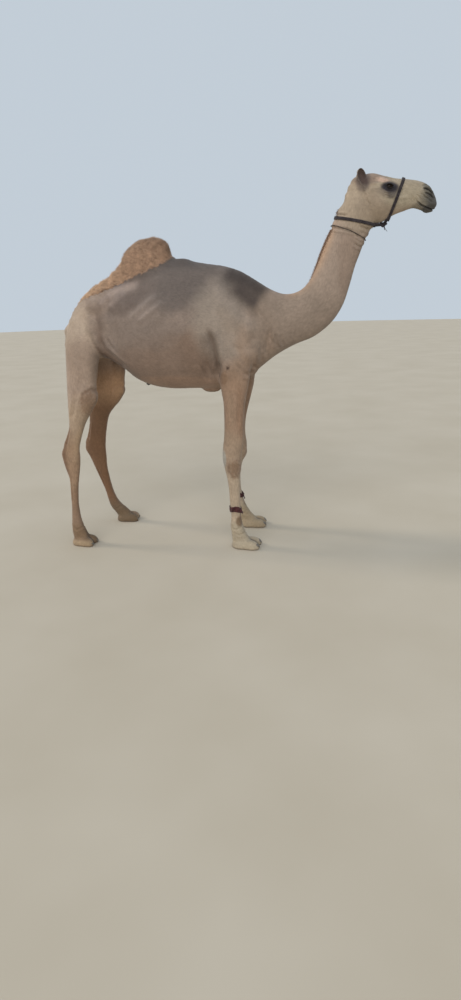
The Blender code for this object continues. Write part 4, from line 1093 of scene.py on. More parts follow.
def unwrapped(points, charts):
    """Each root's place on the skin laid flat, chart beside chart, 0 to 1 both ways."""
    found = np.empty((len(points), 2))
    for k, (axis, members) in enumerate(charts):
        share, _, turn = about_axis(points[members], axis)
        low, high = share.min(), share.max()
        found[members, 0] = 0.01 + 0.97 * (share - low) / max(high - low, 1e-6)
        found[members, 1] = (k + 0.02 + 0.95 * (turn / (2 * math.pi) + 0.5)) / len(charts)
    return found


def tufts(name, rng, roots, normals, lie, length, width, stand, root_colour, tip_colour, charts,
          rings=1, curl=0.0, sink=0.0015, waves=1.5, borrowed=0.75):
    """One piece of coat: a tapering three-sided tuft at every root, lying along the hair."""
    count = len(roots)
    side = np.cross(lie, normals)
    phase = rng.random(count) * 2 * math.pi
    colours, places, maps = [], [], []
    spots = unwrapped(roots, charts(roots))
    patch = 0.003    # size of a tuft on the skin laid flat
    for step in np.linspace(0, 1, rings + 1):
        rise = (stand * step)[:, None] * normals
        run = ((1 - stand) * step + 0.35 * stand * step ** 2)[:, None] * lie
        sway = (curl * np.sin(waves * 2 * math.pi * step + phase) * step ** 0.5)[:, None] * side
        middle = roots - normals * sink + length[:, None] * (rise + run + sway)
        blend = root_colour + (tip_colour - root_colour) * step
        if step == 1:
            places.append(middle[:, None])
            colours.append(blend[:, None])
            maps.append((spots + (patch, patch / 2))[:, None])
            continue
        half = (width / 2 * (1 - 0.85 * step) ** 0.7)[:, None]
        over = unit(np.cross(side, (stand[:, None] * normals + (1 - stand)[:, None] * lie)))
        over = np.where((over * normals).sum(axis=1, keepdims=True) < 0, -over, over)
        places.append(np.stack([middle - side * half, middle + side * half,
                                middle + over * half * TUFT_HEIGHT], axis=1))
        colours.append(np.repeat(blend[:, None], 3, axis=1))
        at = spots + (patch * step, 0)
        maps.append(np.stack([at, at + (0, patch), at + (0, patch / 2)], axis=1))
    points = np.concatenate(places, axis=1)
    per_tuft = points.shape[1]
    faces = [(0, 1, 2)]
    for ring in range(rings - 1):
        for k in range(3):
            a, b = 3 * ring + k, 3 * ring + (k + 1) % 3
            faces += [(a, a + 3, b), (b, a + 3, b + 3)]
    last = 3 * (rings - 1)
    faces += [(last + k, last + 3, last + (k + 1) % 3) for k in range(3)]
    faces = np.array(faces)
    corners = points[0][faces]
    if np.einsum("ij,ij->i", np.cross(corners[:, 0], corners[:, 1]), corners[:, 2]).sum() < 0:
        faces = faces[:, ::-1]
    triangles = (faces[None] + (np.arange(count) * per_tuft)[:, None, None]).reshape(-1, 3)
    mesh = triangle_mesh(name, points.reshape(-1, 3) + PLAN_SHIFT, triangles)
    paint(mesh, np.concatenate(colours, axis=1).reshape(-1, 3))
    store(mesh.uv_layers.new(name="OFBake").data, "uv",
          np.concatenate(maps, axis=1).reshape(-1, 2)[triangles.ravel()])
    own = normals_of(mesh)
    lit = unit(own * (1 - borrowed) + np.repeat(normals, per_tuft, axis=0) * borrowed)
    mesh.normals_split_custom_set_from_vertices(lit.astype(np.float32))
    dress(linked(name, mesh), "hair")


# ---- the coat, region by region ----
def grow(skin, name, seed, weights, count, length, width, charts, stand=0.10):
    """Scatters short flat tufts over part of the skin, in the colours of the markings, painted
    shade and painted highlights.
    """
    rng = np.random.default_rng(seed)
    roots, normals = scattered(rng, skin, weights, count)
    lie = ruffled(rng, roots, normals, 0.20)
    lengths = length * (0.75 + 0.5 * rng.random(count))
    widths = width * (0.75 + 0.5 * rng.random(count))
    stands = np.clip(stand * (0.5 + rng.random(count)), 0, 1)
    colour = markings_and_painted_light(roots) * (1 + 0.07 * rng.standard_normal((count, 1))).clip(0.6, 1.5)
    tufts(name, rng, roots, normals, lie, lengths, widths, stands, 0.97 * colour, 1.10 * colour,
          charts)


def short_coat(skin):
    """Short flat tufts all over, finest on the head and the feet."""
    points = skin["points"]
    x, y, z = points.T
    share = parts_of(points)
    hairy = (1 - wool_share(points)) * (1 - pad_share(points))
    muzzle = fade(x, 1.545, 1.60) * fade(z, 1.9, 2.0)
    eyes = np.ones(len(points))
    for side in (-1, 1):
        distance, facing, edge = beyond_lids(points, side)
        eyes *= 1 - (distance < LID_REACH) * (facing > 0.2) * (edge < 0.30)
    hairy = hairy * (1 - 0.97 * muzzle) * eyes * fade(z, 0.012, 0.03)
    legs = share["fore"] + share["hind"]
    fine = 1 - fade(z, 0.10, 0.30)
    trunk = hairy * share["trunk"]
    ahead, left = x >= -0.10, y > 0
    for name, seed, where in (("fore_right", 45, ahead & ~left),
                              ("rear_right", 46, ~ahead & ~left),
                              ("fore_left", 44, ahead & left),
                              ("rear_left", 45, ~ahead & left)):
        grow(skin, "short_coat_" + name, SEED + seed, trunk * where, 30000, 0.0190, 0.0024,
             one_chart("trunk"))
    for name, seed, weights, count, length, width, charts, stand in (
            ("neck", 21, hairy * share["neck"], 34000, 0.0130, 0.0020, one_chart("neck"), 0.08),
            ("head", 22, hairy * share["head"], 26000, 0.0065, 0.0011, one_chart("head"), 0.15),
            ("leg", 23, hairy * legs * (1 - fine), 40000, 0.0115, 0.0016, leg_charts, 0.10),
            ("foot", 24, hairy * legs * fine, 14000, 0.0070, 0.0013, leg_charts, 0.10)):
        grow(skin, name + "_coat", SEED + seed, weights, count, length, width, charts, stand)


def wool(skin):
    """Loose curled locks over the hump, shorter and flatter down the croup."""
    count = 18500
    for word, seed, side in (("right", 31, -1), ("left", 32, 1)):
        rng = np.random.default_rng(seed)
        weights = wool_share(skin["points"]) * (skin["points"][:, 1] * side >= 0)
        roots, normals = scattered(rng, skin, weights, count)
        x, y, z = roots.T
        lie = lie_of_hair(roots, normals)
        turn = rng.standard_normal((count, 1)) * 1.1
        lie = unit(lie * np.cos(turn) + np.cross(normals, lie) * np.sin(turn))
        lengths = wool_height(roots) * 1.35 * (0.60 + 0.8 * rng.random(count))
        clump = np.sin(x * 61 + 3 * np.sin(z * 47)) * np.sin(y * 53 + z * 71)
        lengths *= 1 + 0.22 * clump
        widths = 0.0034 * (0.7 + 0.6 * rng.random(count))
        stands = np.clip(0.52 + 0.12 * rng.standard_normal(count) + 0.1 * clump, 0.15, 0.85)
        tone = 1 + 0.10 * rng.standard_normal((count, 1)) + 0.20 * mottle(roots)[:, None]
        tone = tone.clip(0.5, 1.6) * (1 - 0.35 * fade(z, 1.86, 2.02)[:, None])
        worn = fade(x, -0.50, -0.15)[:, None]
        tip = linear(*WOOL_TIP) * worn + linear(*CROUP_TIP) * (1 - worn)
        tufts("hump_wool_" + word, rng, roots, normals, lie, lengths, widths, stands,
              linear(*WOOL_ROOT) * tone, tip * tone, one_chart("trunk"),
              rings=2, curl=0.24, sink=0.002, waves=0.9, borrowed=0.7)


def mane(skin):
    """A dark fringe along the back of the neck, standing a little off it."""
    points = skin["points"]
    behind = fade(-skin["normals"][:, 0], 0.1, 0.4)
    low = fade(points[:, 2], 1.66, 1.80)
    away, _ = along_path(points[:, [0, 2]], path_of(MANE_LINE))
    weights = (np.exp(-(away / 0.030) ** 2) * np.exp(-(points[:, 1] / 0.016) ** 2) * behind * low
               * (points[:, 2] < 1.985))
    nape = np.exp(-((points - (1.094, 0, 2.080)) ** 2).sum(axis=1) / 0.010 ** 2)
    rng = np.random.default_rng(SEED + 41)
    count = 2400
    roots, normals = scattered(rng, skin, weights + 0.8 * nape, count)
    lie = ruffled(rng, roots, normals, 0.35)
    lengths = 0.016 * (0.6 + 0.7 * rng.random(count))
    stands = np.clip(0.55 + 0.15 * rng.standard_normal(count), 0.2, 0.9)
    dark = linear(*MANE) * (1 + 0.2 * rng.standard_normal((count, 1))).clip(0.5, 1.6)
    tufts("neck_mane", rng, roots, normals, lie, lengths, np.full(count, 0.0020), stands,
          0.8 * dark, 1.5 * dark, one_chart("neck"), rings=3, curl=0.10)


def tail_hair(skin):
    """Coarse hair down the back of the tail to its tassel."""
    points = skin["points"]
    x, _, z = points.T
    away = np.min([np.linalg.norm(points - place, axis=1) for place in axis_of("tail")], axis=0)
    weights = (away < 0.05) * (x < -0.655) * (z < 1.37) * fade(z, 0.60, 0.62)
    rng = np.random.default_rng(SEED + 42)
    count = 2600
    roots, normals = scattered(rng, skin, weights, count)
    lie = np.tile((0.04, 0.0, -1.0), (count, 1))
    lie = lie - (lie * normals).sum(axis=1, keepdims=True) * normals
    lie = unit(lie + 0.10 * rng.standard_normal((count, 3)))
    low = 1 - fade(roots[:, 2], 0.85, 1.15)
    lengths = (0.022 + 0.040 * low) * (0.7 + 0.6 * rng.random(count))
    lengths = np.minimum(lengths, np.clip((roots[:, 2] - TAIL_END) / 0.75, 0.01, None))
    stands = np.clip(0.10 + 0.06 * rng.standard_normal(count), 0.02, 0.4)
    tone = (1 + 0.22 * rng.standard_normal((count, 1))).clip(0.5, 1.6)
    low = low[:, None]
    shade = (linear(*TAIL_BACK) * (1 - low) + linear(*TASSEL) * low) * tone
    tufts("tail_hair", rng, roots, normals, lie, lengths, np.full(count, 0.0026), stands,
          0.8 * shade, 1.25 * shade, one_chart("trunk"), rings=3, curl=0.05)


# ---- materials ----
class Look:
    """One node material, with short ways to add nodes to it."""

    def __init__(self, name, roughness, **sockets):
        self.made = bpy.data.materials.new(name)
        self.made.use_nodes = True
        self.nodes = self.made.node_tree.nodes
        self.shader = self.nodes["Principled BSDF"]
        for socket, value in {"Roughness": roughness, **sockets}.items():
            self.feed(self.shader.inputs[socket.replace("_", " ")], value)
        self.place = self.add("ShaderNodeTexCoord").outputs["Object"]

    def add(self, kind, inputs=(), **values):
        """A node with its settings, and its input sockets fed by name or by number."""
        node = self.nodes.new(kind)
        for key, value in values.items():
            setattr(node, key, value)
        for socket, value in dict(inputs).items():
            self.feed(node.inputs[socket], value)
        return node

    def feed(self, socket, value):
        if isinstance(value, bpy.types.NodeSocket):
            self.made.node_tree.links.new(value, socket)
        else:
            socket.default_value = value

    def attribute(self, name, output="Color"):
        return self.add("ShaderNodeAttribute", attribute_name=name).outputs[output]

    def math(self, operation, *values):
        return self.add("ShaderNodeMath", enumerate(values), operation=operation).outputs[0]

    def mix(self, share, first, second, blend="MIX"):
        return self.add("ShaderNodeMix", {0: share, 6: first, 7: second},
                        data_type="RGBA", blend_type=blend).outputs[2]

    def stretched(self, scale, lean=0.0):
        return self.add("ShaderNodeMapping", {
            "Rotation": (0, math.radians(lean), 0), "Scale": [1 / part for part in scale],
            "Vector": self.place}, vector_type="TEXTURE").outputs[0]

    def noise(self, vector, detail=3.0, roughness=0.5, scale=1.0):
        return self.add("ShaderNodeTexNoise", {
            "Scale": scale, "Detail": detail, "Roughness": roughness,
            "Vector": vector}).outputs["Fac"]

    def cracks(self, vector, scale):
        return self.add("ShaderNodeTexVoronoi", {"Scale": scale, "Vector": vector},
                        feature="DISTANCE_TO_EDGE").outputs["Distance"]

    def spread(self, *values):
        """Maps a value's range (value, low, high) to 0..1, or to another (new_low, new_high)."""
        return self.add("ShaderNodeMapRange", enumerate(values)).outputs[0]

    def colour(self, value):
        self.feed(self.shader.inputs["Base Color"], value)

    def bump(self, height, strength, distance):
        node = self.add("ShaderNodeBump", {"Strength": strength, "Distance": distance,
                                           "Height": height})
        self.feed(self.shader.inputs["Normal"], node.outputs[0])


def skin_look():
    look = Look("short coat", 0.78, Sheen_Weight=0.12, Sheen_Roughness=0.5, Specular_IOR_Level=0.25)
    regions = look.add("ShaderNodeSeparateColor", {0: look.attribute("Regions")})
    trunk, legs, neck = regions.outputs
    strands = None
    for share, lean in ((trunk, 22), (legs, 86), (neck, -48)):
        fur = look.noise(look.stretched((34, 330, 330), lean), detail=3.5, roughness=0.62)
        fur = look.math("MULTIPLY", fur, share)
        strands = fur if strands is None else look.math("ADD", strands, fur)
    clouds = look.noise(look.place, detail=4.0, roughness=0.6, scale=9.0)
    dust = look.noise(look.place, detail=2.0, scale=60.0)
    shade = look.math("ADD", look.spread(strands, 0.3, 0.7, 0.84, 1.14),
                      look.spread(clouds, 0.3, 0.7, -0.09, 0.09))
    shade = look.math("ADD", shade, look.spread(dust, 0.3, 0.7, -0.06, 0.06))
    tint = look.add("ShaderNodeCombineColor", {k: shade for k in range(3)})
    look.colour(look.mix(1.0, look.attribute("Markings_and_painted_light"), tint.outputs[0], "MULTIPLY"))
    bare = look.attribute("Bare", "Fac")
    cracked = look.math("MULTIPLY", look.spread(look.cracks(look.place, 130.0), 0.0, 0.25), bare)
    furry = look.math("MULTIPLY", strands, look.spread(bare, 0.0, 1.0, 1.0, 0.3))
    look.bump(look.math("ADD", furry, look.math("MULTIPLY", cracked, 0.7)), 0.6, 0.0025)
    return look.made


def marked_look(name, roughness, **sockets):
    look = Look(name, roughness, **sockets)
    look.colour(look.attribute("Markings_and_painted_light"))
    return look.made


def horn_look():
    look = Look("horn", 0.42, Specular_IOR_Level=0.4)
    growth = look.noise(look.stretched((60, 60, 260)), detail=3.0)
    look.colour(look.mix(look.spread(growth, 0.35, 0.65), (0.088, 0.072, 0.055, 1),
                         (0.190, 0.162, 0.128, 1)))
    look.bump(growth, 0.5, 0.0012)
    return look.made


def cloth_look(name, dark, light, scale):
    look = Look(name, 0.88, Sheen_Weight=0.15, Specular_IOR_Level=0.2)
    fibres = look.noise(look.stretched((scale, scale, 0.25 * scale), 35), detail=3.0, roughness=0.6)
    wear = look.noise(look.place, detail=3.0, scale=45.0)
    both = look.math("MULTIPLY", fibres, look.spread(wear, 0.3, 0.7, 0.6, 1.3))
    look.colour(look.mix(look.spread(both, 0.25, 0.75), (*dark, 1), (*light, 1)))
    look.bump(fibres, 0.6, 0.0008)
    return look.made


def dress(thing, look):
    thing.data.materials.clear()
    thing.data.materials.append(LOOKS[look])
    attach(thing, "root")


def piece(name, bm, look, replaced):
    """The bmesh as a smooth piece of its own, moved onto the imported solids."""
    bmesh.ops.translate(bm, vec=PLAN_SHIFT, verts=bm.verts)
    made = mesh_object(name, bm)
    made.data.shade_smooth()
    dress(made, look)
    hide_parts(replaced)


def word_of(side):
    return "left" if side > 0 else "right"


# ---- eyes, lashes and nails ----
def eyeball(side, rings=40, sides=64):
    """A ball whose pole looks outwards: a bulging clear front, a brown iris and a wide pupil."""
    centre, out, along, up = eye_frame(side)
    points, colours, triangles = [], [], []
    white, iris, dark = np.array((0.030, 0.020, 0.015)), np.array((0.020, 0.009, 0.004)), 0.002
    for ring in range(rings + 1):
        polar = math.pi * ring / rings
        for k in range(sides):
            turn = 2 * math.pi * k / sides
            across, high = math.sin(polar) * math.cos(turn), math.sin(polar) * math.sin(turn)
            radius = EYE_RADIUS + 0.0006 * max(0, math.cos(polar)) ** 6
            points.append(centre + radius * (math.cos(polar) * out + across * along + high * up))
            pupil = fade(1 - (across / 0.40) ** 2 - (high / 0.20) ** 2, 0.0, 0.3)
            streaks = 1 + 0.35 * math.sin(17 * turn) * math.sin(31 * turn + 1)
            away = math.hypot(across, high)
            edge = fade(away, 0.60, 0.72)
            shade = iris * streaks * (1 - edge) + white * edge
            limbus = math.exp(-((away - 0.64) / 0.05) ** 2)
            colours.append(shade * (1 - pupil) * (1 - 0.8 * limbus) + dark * pupil)
            if ring < rings:
                a, b = ring * sides + k, ring * sides + (k + 1) % sides
                triangles += [(a, a + sides, b), (b, a + sides, b + sides)]
    triangles = np.array(triangles)[:, ::-side]
    mesh = triangle_mesh("eye", np.array(points) + PLAN_SHIFT, triangles)
    paint(mesh, colours)
    bm = bmesh.new()
    bm.from_mesh(mesh)
    bmesh.ops.remove_doubles(bm, verts=bm.verts, dist=1e-5)
    bmesh.ops.recalc_face_normals(bm, faces=bm.faces)
    pour(bm, mesh)
    made = linked("eyeball_" + word_of(side), mesh)
    dress(made, "eye")
    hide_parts("eye_" + word_of(side))


def lashes(side):
    """A thick fringe on the upper lid and a thin one on the lower."""
    rng = np.random.default_rng(SEED + side)
    centre, out, along, up = eye_frame(side)
    roots, normals, lie, lengths = [], [], [], []
    for upper, count, length, rise in ((True, 150, 0.016, -0.25), (False, 60, 0.008, -0.75)):
        for slit in np.linspace(-0.82, 0.82, count):
            high = (UPPER_LID * (1 - (slit - 0.10) ** 2) ** 0.75 if upper
                    else -LOWER_LID * (1 - slit ** 2))
            way = out + SLIT * slit * along + (high + 0.04 * rng.standard_normal()) * up
            way /= np.linalg.norm(way)
            roots.append(centre + way * (EYE_RADIUS + 0.8 * LID))
            normals.append(way)
            lie.append(rise * up + (0.5 * slit + 0.25 * rng.standard_normal()) * along)
            lengths.append(length * (0.7 + 0.5 * rng.random()) * (1 - 0.4 * slit ** 2))
    normals, count = np.array(normals), len(roots)
    colour = np.tile((0.020, 0.015, 0.012), (count, 1))
    tufts("lashes_" + word_of(side), rng, np.array(roots), normals,
          along_skin(unit(np.array(lie)), normals), np.array(lengths), np.full(count, 0.0010),
          np.full(count, 0.72), colour, colour, one_chart("head"), rings=3, sink=0.001)


def nail(name, x, y, heading, size, toe, levels=14, sides=28):
    """A ridged, down-curved nail on the end of a toe."""
    turn = Matrix.Rotation(math.radians(heading), 3, "Z")
    middle = Vector((x, y, 0.033 * size)) + turn @ Vector((0.087, toe * 0.042, 0)) * size
    half_length, half_width, half_height = (size * half for half in NAIL_SIZE)
    bm = bmesh.new()
    rings = []
    for level in range(levels + 1):
        t = level / levels
        swell = math.sin(math.pi * (0.08 + 0.86 * t) ** 0.8) ** 0.6
        run = half_length * ((2 * t - 1) * 1.02 - 0.10)
        drop = -0.45 * half_height * (2 * t) ** 2 + 0.001 * size
        ring = []
        for k in range(sides):
            c, s = math.cos(2 * math.pi * k / sides), math.sin(2 * math.pi * k / sides)
            ridge = 1 + 0.035 * math.sin(9 * (2 * math.pi * k / sides)) + 0.02 * math.sin(40 * t)
            across = half_width * swell * c * ridge
            high = half_height * swell * s * ridge * (1.0 if s > 0 else 0.7)
            ring.append(bm.verts.new(middle + turn @ Vector((run, across, high + drop))))
        rings.append(ring)
    bridge(bm, rings)
    piece("hoof_" + name, bm, "horn", name)


# ---- what the camel wears ----
def taut_loop(points, sides, slack):
    """The tightest loop round the 2-D points, in the given number of places, outside them all."""
    hull = [Vector(points[k]) for k in convex_hull_2d(points)]
    lengths = [0.0]
    for k, point in enumerate(hull):
        lengths.append(lengths[-1] + (hull[(k + 1) % len(hull)] - point).length)
    places = []
    for k in range(sides):
        want = lengths[-1] * k / sides
        step = max(i for i, length in enumerate(lengths[:-1]) if length <= want)
        part = (want - lengths[step]) / (lengths[step + 1] - lengths[step])
        places.append(hull[step].lerp(hull[(step + 1) % len(hull)], part))
    middle = sum(hull, Vector((0, 0))) / len(hull)
    loop = []
    for k, here in enumerate(places):
        before, after = places[k - 2], places[(k + 2) % sides]
        out = Vector((after.y - before.y, before.x - after.x)).normalized()
        if out.dot(here - middle) < 0:
            out.negate()
        loop.append((here + out * slack, out))
    return loop, lengths[-1]


def round_the_skin(tree, centre, normal, width, sides, reach=0.3, slack=0.0026):
    """A loop that lies on the coat: its places, their outward directions, the way across it and
    its length."""
    centre, normal = Vector(centre), Vector(normal).normalized()
    across = Vector((0, 1, 0))
    along = across.cross(normal).normalized()
    points = []
    for k in range(240):
        turn = 2 * math.pi * k / 240
        out = math.cos(turn) * along + math.sin(turn) * across
        for step in (-0.5, -0.25, 0, 0.25, 0.5):
            hit = tree.ray_cast(centre + normal * (step * width) + out * reach, -out, reach)[0]
            if hit:
                points.append(((hit - centre).dot(along), (hit - centre).dot(across)))
    flat, length = taut_loop(points, sides, slack)
    places = np.array([centre + along * place.x + across * place.y for place, _ in flat])
    outward = np.array([along * out.x + across * out.y for _, out in flat])
    return places, outward, np.array(normal), length


def tube(bm, places, sideways, outward, half_across, half_out, sides=8, closed=True):
    """A rounded strand along the places, with its own two half sizes."""
    rings = []
    sideways, outward = (np.broadcast_to(way, places.shape) for way in (sideways, outward))
    for place, side, out in zip(places, sideways, outward):
        turns = [2 * math.pi * k / sides for k in range(sides)]
        rings.append([bm.verts.new(Vector(place) + Vector(side) * (half_across * math.cos(turn))
                                   + Vector(out) * (half_out * math.sin(turn)))
                      for turn in turns])
    bridge(bm, rings, closed)


def laid_strands(loop, count, pitch, sway, rise, half_across, half_out, sides=8):
    """Strands laid round the loop together, each swaying and rising with its own phase."""
    places, outward, side, length = loop
    turns = round(length / pitch)
    bm = bmesh.new()
    for strand in range(count):
        phase = 2 * math.pi * (np.arange(len(places)) / len(places) * turns + strand / count)
        line = places + side * sway(phase)[:, None] + outward * rise(phase)[:, None]
        tube(bm, line, side, outward, half_across, half_out, sides)
    return bm


def plaited(name, tree, centre, normal, replaced):
    """A flat strap plaited from three strands. Returns its places."""
    width, thickness = STRAP_SIZE
    loop = round_the_skin(tree, centre, normal, width, 480)
    half_across, half_out = 0.270 * width, 0.34 * thickness
    sway = width / 2 - half_across
    bm = laid_strands(loop, 3, 1.15 * width, lambda phase: sway * np.sin(phase),
                      lambda phase: thickness / 2 + 0.13 * thickness * np.sin(2 * phase),
                      half_across, half_out)
    piece(name, bm, "webbing", replaced)
    return loop[0]


def twisted_cord(tree):
    loop = round_the_skin(tree, (1.165, 0, 1.958), (0.390, 0, 0.920), 2 * CORD_RADIUS, 900)
    places, outward, _, _ = loop
    places[:, 2] += 0.012 * outward[:, 1] ** 2
    bm = laid_strands(loop, 2, 0.010, lambda phase: 0.5 * CORD_RADIUS * np.cos(phase),
                      lambda phase: CORD_RADIUS + 0.5 * CORD_RADIUS * np.sin(phase),
                      0.55 * CORD_RADIUS, 0.55 * CORD_RADIUS, 6)
    piece("twisted_neck_cord", bm, "cord", "neck_cord")


def knot(noseband, neck_strap):
    """The halter's knot under the jaw, both loops drawn into it, with two short ends."""
    bm = bmesh.new()
    centre = np.array(KNOT_AT)
    across = np.array((0, 1.0, 0))
    for loop, end, flat in ((noseband, noseband[np.argmin(noseband[:, 2])], NOSEBAND_NORMAL),
                            (neck_strap, neck_strap[np.argmax(neck_strap[:, 0])], STRAP_NORMAL)):
        t = np.linspace(0, 1, 16)[:, None]
        for side in (-1, 1):
            start = loop[np.argmin(np.linalg.norm(loop - end - side * 0.045 * across, axis=1))]
            way = unit(centre - start)
            wide = unit(np.array(flat) - way * (np.array(flat) @ way))
            tube(bm, start + (centre - start) * t, wide, np.cross(way, wide), 0.0080, 0.0026, 12,
                 closed=False)
    turn = 2 * np.pi * np.arange(120) / 120
    line = np.stack([np.sin(turn) + 2 * np.sin(2 * turn), -np.sin(3 * turn),
                     np.cos(turn) - 2 * np.cos(2 * turn)], axis=1)
    line = line / (3.0, 1.0, 3.0) * (0.021, 0.009, 0.011) + KNOT_AT
    way = unit(np.roll(line, -1, axis=0) - np.roll(line, 1, axis=0))
    side = unit(np.cross(way, (0.0, 0.3, 1.0)))
    tube(bm, line, side, np.cross(way, side), 0.0052, 0.0046, 10)
    for lean, reach in ((0.45, 0.046), (0.15, 0.034)):
        t = np.linspace(0, 1, 14)[:, None]
        hang = np.concatenate([lean * t, 0.2 * lean * t, (0.35 * t - 1) * t], axis=1)
        line = np.array((1.372, 0.004, 1.990)) + reach * hang
        tube(bm, line, (1.0, 0, 0), across, 0.0018, 0.0018, 6, closed=False)
    piece("tied_halter_knot", bm, "webbing", "halter_knot")


def hobble(word, tree, centre, normal, width, droop, seed):
    """A soft cloth band wrapped twice round the pastern, with a short loose end."""
    fine = 180
    places, outward, side, _ = round_the_skin(tree, centre, normal, width, fine, 0.12, 0.0016)
    phases = np.random.default_rng(seed).random(6) * 2 * math.pi
    bm = bmesh.new()
    around = 2 * math.pi * np.arange(fine) / fine
    sag = -droop * np.clip(outward[:, 0], 0, 1) ** 2
    for level, (share, shift) in enumerate(((0.72, 0.16), (0.62, -0.17))):
        crumple = 0.0010 * (np.sin(7 * around + phases[level])
                            + np.sin(13 * around + phases[level + 2]))
        wander = 0.0022 * np.sin(3 * around + phases[level + 4])
        line = places + outward * (0.0022 + 0.0007 * level + crumple)[:, None]
        line = line + side * (shift * width + wander)[:, None] + (0, 0, 1.0) * sag[:, None]
        lean = unit(side + 0.10 * outward * np.sin(5 * around + phases[level + 1])[:, None])
        tube(bm, line, lean, outward, share * width / 2, 0.0019, 12)
    front = int(np.argmax(outward[:, 0] - 0.3 * outward[:, 1]))
    start = places[front] + outward[front] * 0.0045 + np.array((0, 0, sag[front]))
    t = np.linspace(0, 1, 16)[:, None]
    for lean, reach in ((0.5, 0.024), (-0.8, 0.019)):
        line = (start + t * reach * np.array((0.35, lean, -1.0))
                + 0.004 * np.sin(3 * t) * outward[front])
        tube(bm, line, (0.15, 1.0, 0), (1.0, -0.15, 0), 0.0060, 0.0013, 10, closed=False)
    lump = Matrix.Translation(start) @ Matrix.Diagonal((0.0065, 0.0090, 0.0085, 1))
    bmesh.ops.create_icosphere(bm, subdivisions=3, radius=1, matrix=lump)
    piece("cloth_hobble_" + word, bm, "hobble", "hobble_band_" + word)


# ---- light, floor and camera ----
def far_light(name, comes_from, spread, strength, colour):
    """A lamp so far off that it lights the floor evenly, soft by its spread in degrees."""
    lamp = bpy.data.lights.new(name, "SUN")
    lamp.angle = math.radians(spread)
    lamp.energy = strength
    lamp.color = colour
    linked(name, lamp).rotation_euler = (-Vector(comes_from)).to_track_quat("-Z", "Y").to_euler()


def studio():
    bm = bmesh.new()
    bmesh.ops.create_circle(bm, cap_ends=True, segments=96, radius=40)
    floor = mesh_object("studio_floor", bm)
    floor.location.z = -0.0005
    look = Look("floor", 0.9)
    look.colour(look.mix(look.spread(look.noise(look.place, scale=1.3), 0.3, 0.7),
                         (0.465, 0.405, 0.315, 1), (0.505, 0.445, 0.355, 1)))
    floor.data.materials.append(look.made)
    world = bpy.data.worlds.new("studio")
    world.use_nodes = True
    background = world.node_tree.nodes["Background"]
    background.inputs["Color"].default_value = (0.80, 0.90, 1.0, 1)
    background.inputs["Strength"].default_value = 0.68
    bpy.context.scene.world = world
    far_light("key", (-0.85, 0.10, 0.55), 12, 1.10, (1.0, 0.92, 0.80))
    far_light("fill", (-0.10, -0.90, 0.42), 60, 1.75, (1.0, 0.98, 0.96))


def eye_level_camera():
    """A camera held at standing eye height beside the camel, looking a little down and forward."""
    yaw, pitch, roll = math.radians(-9.0), math.radians(18.43), 0.03
    level = Vector((math.sin(yaw), math.cos(yaw), 0))
    forward = math.cos(pitch) * level - math.sin(pitch) * Vector((0, 0, 1))
    right = forward.cross(Vector((0, 0, 1))).normalized()
    up = right.cross(forward)
    turned_right = math.cos(roll) * right - math.sin(roll) * up
    turned_up = math.sin(roll) * right + math.cos(roll) * up
    data = bpy.data.cameras.new("camera")
    data.sensor_width = 36
    data.lens = 21.6
    made = linked("camera", data)
    rotation = Matrix((turned_right, turned_up, -forward)).transposed().to_4x4()
    made.matrix_world = Matrix.Translation(Vector((1.033, -3.972, 1.6)) + PLAN_SHIFT) @ rotation
    bpy.context.scene.camera = made


# ---- the camel, dressed ----
FLESH_NODES = ["head", "jaw", "neck_upper", "neck_lower", "trunk", "hump", "tail", "breast_pad",
               "ear_left", "ear_right"]
for LEG, LENGTHS in (("foreleg", ("foot", "cannon", "forearm")),
                     ("hindleg", ("foot", "cannon", "shank", "thigh"))):
    for WORD in ("left", "right"):
        FLESH_NODES += [f"{LEG}_{WORD}_{length}" for length in LENGTHS]


def plan_shift():
    """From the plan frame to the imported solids' frame, read off the eyes."""
    middles = [sum(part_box("eye_" + word), Vector()) / 2 for word in ("left", "right")]
    middle = (middles[0] + middles[1]) / 2
    return Vector((middle.x - EYE_AT[0], middle.y, middle.z - EYE_AT[2]))


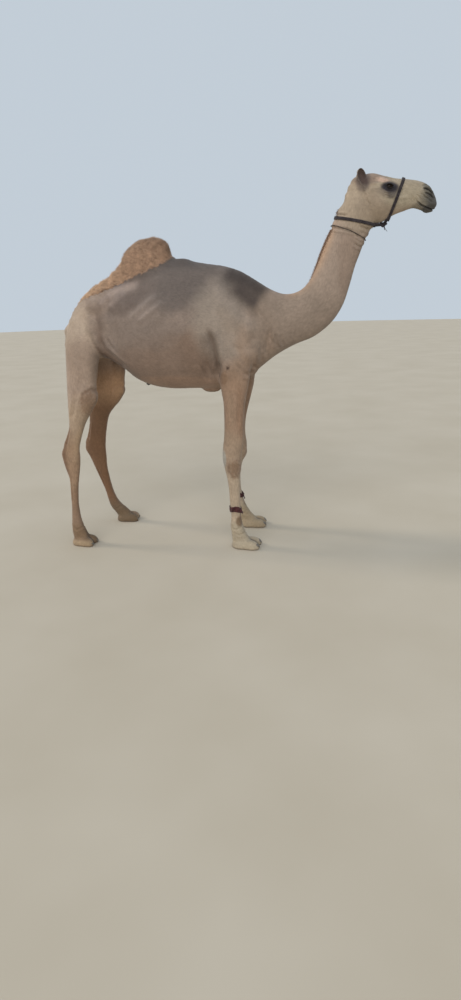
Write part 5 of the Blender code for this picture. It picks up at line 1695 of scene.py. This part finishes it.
def skin_piece():
    """The skin with its coat's markings, painted shade and painted highlights laid on as colours.
    Returns what the coat is grown from.
    """
    made = finished_skin()
    points = points_of(made.data)
    paint(made.data, markings_and_painted_light(points))
    share = parts_of(points)
    low_neck = share["neck"] * (1 - fade(points[:, 2], 1.55, 1.85))
    paint(made.data, np.column_stack([
        share["trunk"] + share["head"],
        share["fore"] + share["hind"] + share["neck"] - low_neck, low_neck]), "Regions")
    store(made.data.attributes.new("Bare", "FLOAT", "POINT").data, "value", pad_share(points))
    made.data.calc_loop_triangles()
    found = {"points": points, "normals": normals_of(made.data),
             "triangles": stored(made.data.loop_triangles, "vertices", 3, np.int32)}
    made.data.transform(Matrix.Translation(PLAN_SHIFT))
    dress(made, "skin")
    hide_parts(*FLESH_NODES)
    return found


clear_start()
PLAN_SHIFT = plan_shift()
LOOKS = {
    "skin": skin_look(),
    "horn": horn_look(),
    "eye": marked_look("eye", 0.34, Coat_Weight=0.16, Coat_Roughness=0.03,
                       Specular_IOR_Level=0.06),
    "webbing": cloth_look("webbing", (0.012, 0.009, 0.010), (0.052, 0.041, 0.043), 260.0),
    "cord": cloth_look("cord", (0.020, 0.016, 0.013), (0.070, 0.055, 0.042), 420.0),
    "hobble": cloth_look("hobble cloth", (0.022, 0.006, 0.006), (0.092, 0.027, 0.027), 180.0),
    "hair": marked_look("tufts", 0.75, Sheen_Weight=0.12, Sheen_Roughness=0.5,
                        Specular_IOR_Level=0.2),
}

ground = skin_piece()
tree = BVHTree.FromPolygons([Vector(place) for place in ground["points"]],
                            ground["triangles"].tolist())
short_coat(ground)
wool(ground)
mane(ground)
tail_hair(ground)
for SIDE in (-1, 1):
    eyeball(SIDE)
    lashes(SIDE)
for (X, Y, HEADING, SIZE), WORD in zip(FEET, ("foreleg_right", "foreleg_left", "hindleg_right",
                                              "hindleg_left")):
    for LETTER, TOE in (("a", -1), ("b", 1)):
        nail(f"nail_{WORD}_{LETTER}", X, Y, HEADING, SIZE, TOE)
noseband = plaited("plaited_noseband", tree, (1.431, 0, 2.129), NOSEBAND_NORMAL,
                   "halter_noseband")
neck_strap = plaited("plaited_neck_strap", tree, (1.208, 0, 2.018), STRAP_NORMAL,
                     "halter_neck_strap")
twisted_cord(tree)
knot(noseband, neck_strap)
hobble("right", tree, (0.469, -0.204, 0.272), (-0.10, 0, 1.0), 0.038, 0.018, 5)
hobble("left", tree, (0.424, 0.205, 0.248), (0.25, 0, 1.0), 0.028, 0.006, 6)

studio()
eye_level_camera()
bpy.context.scene.view_settings.view_transform = "Standard"
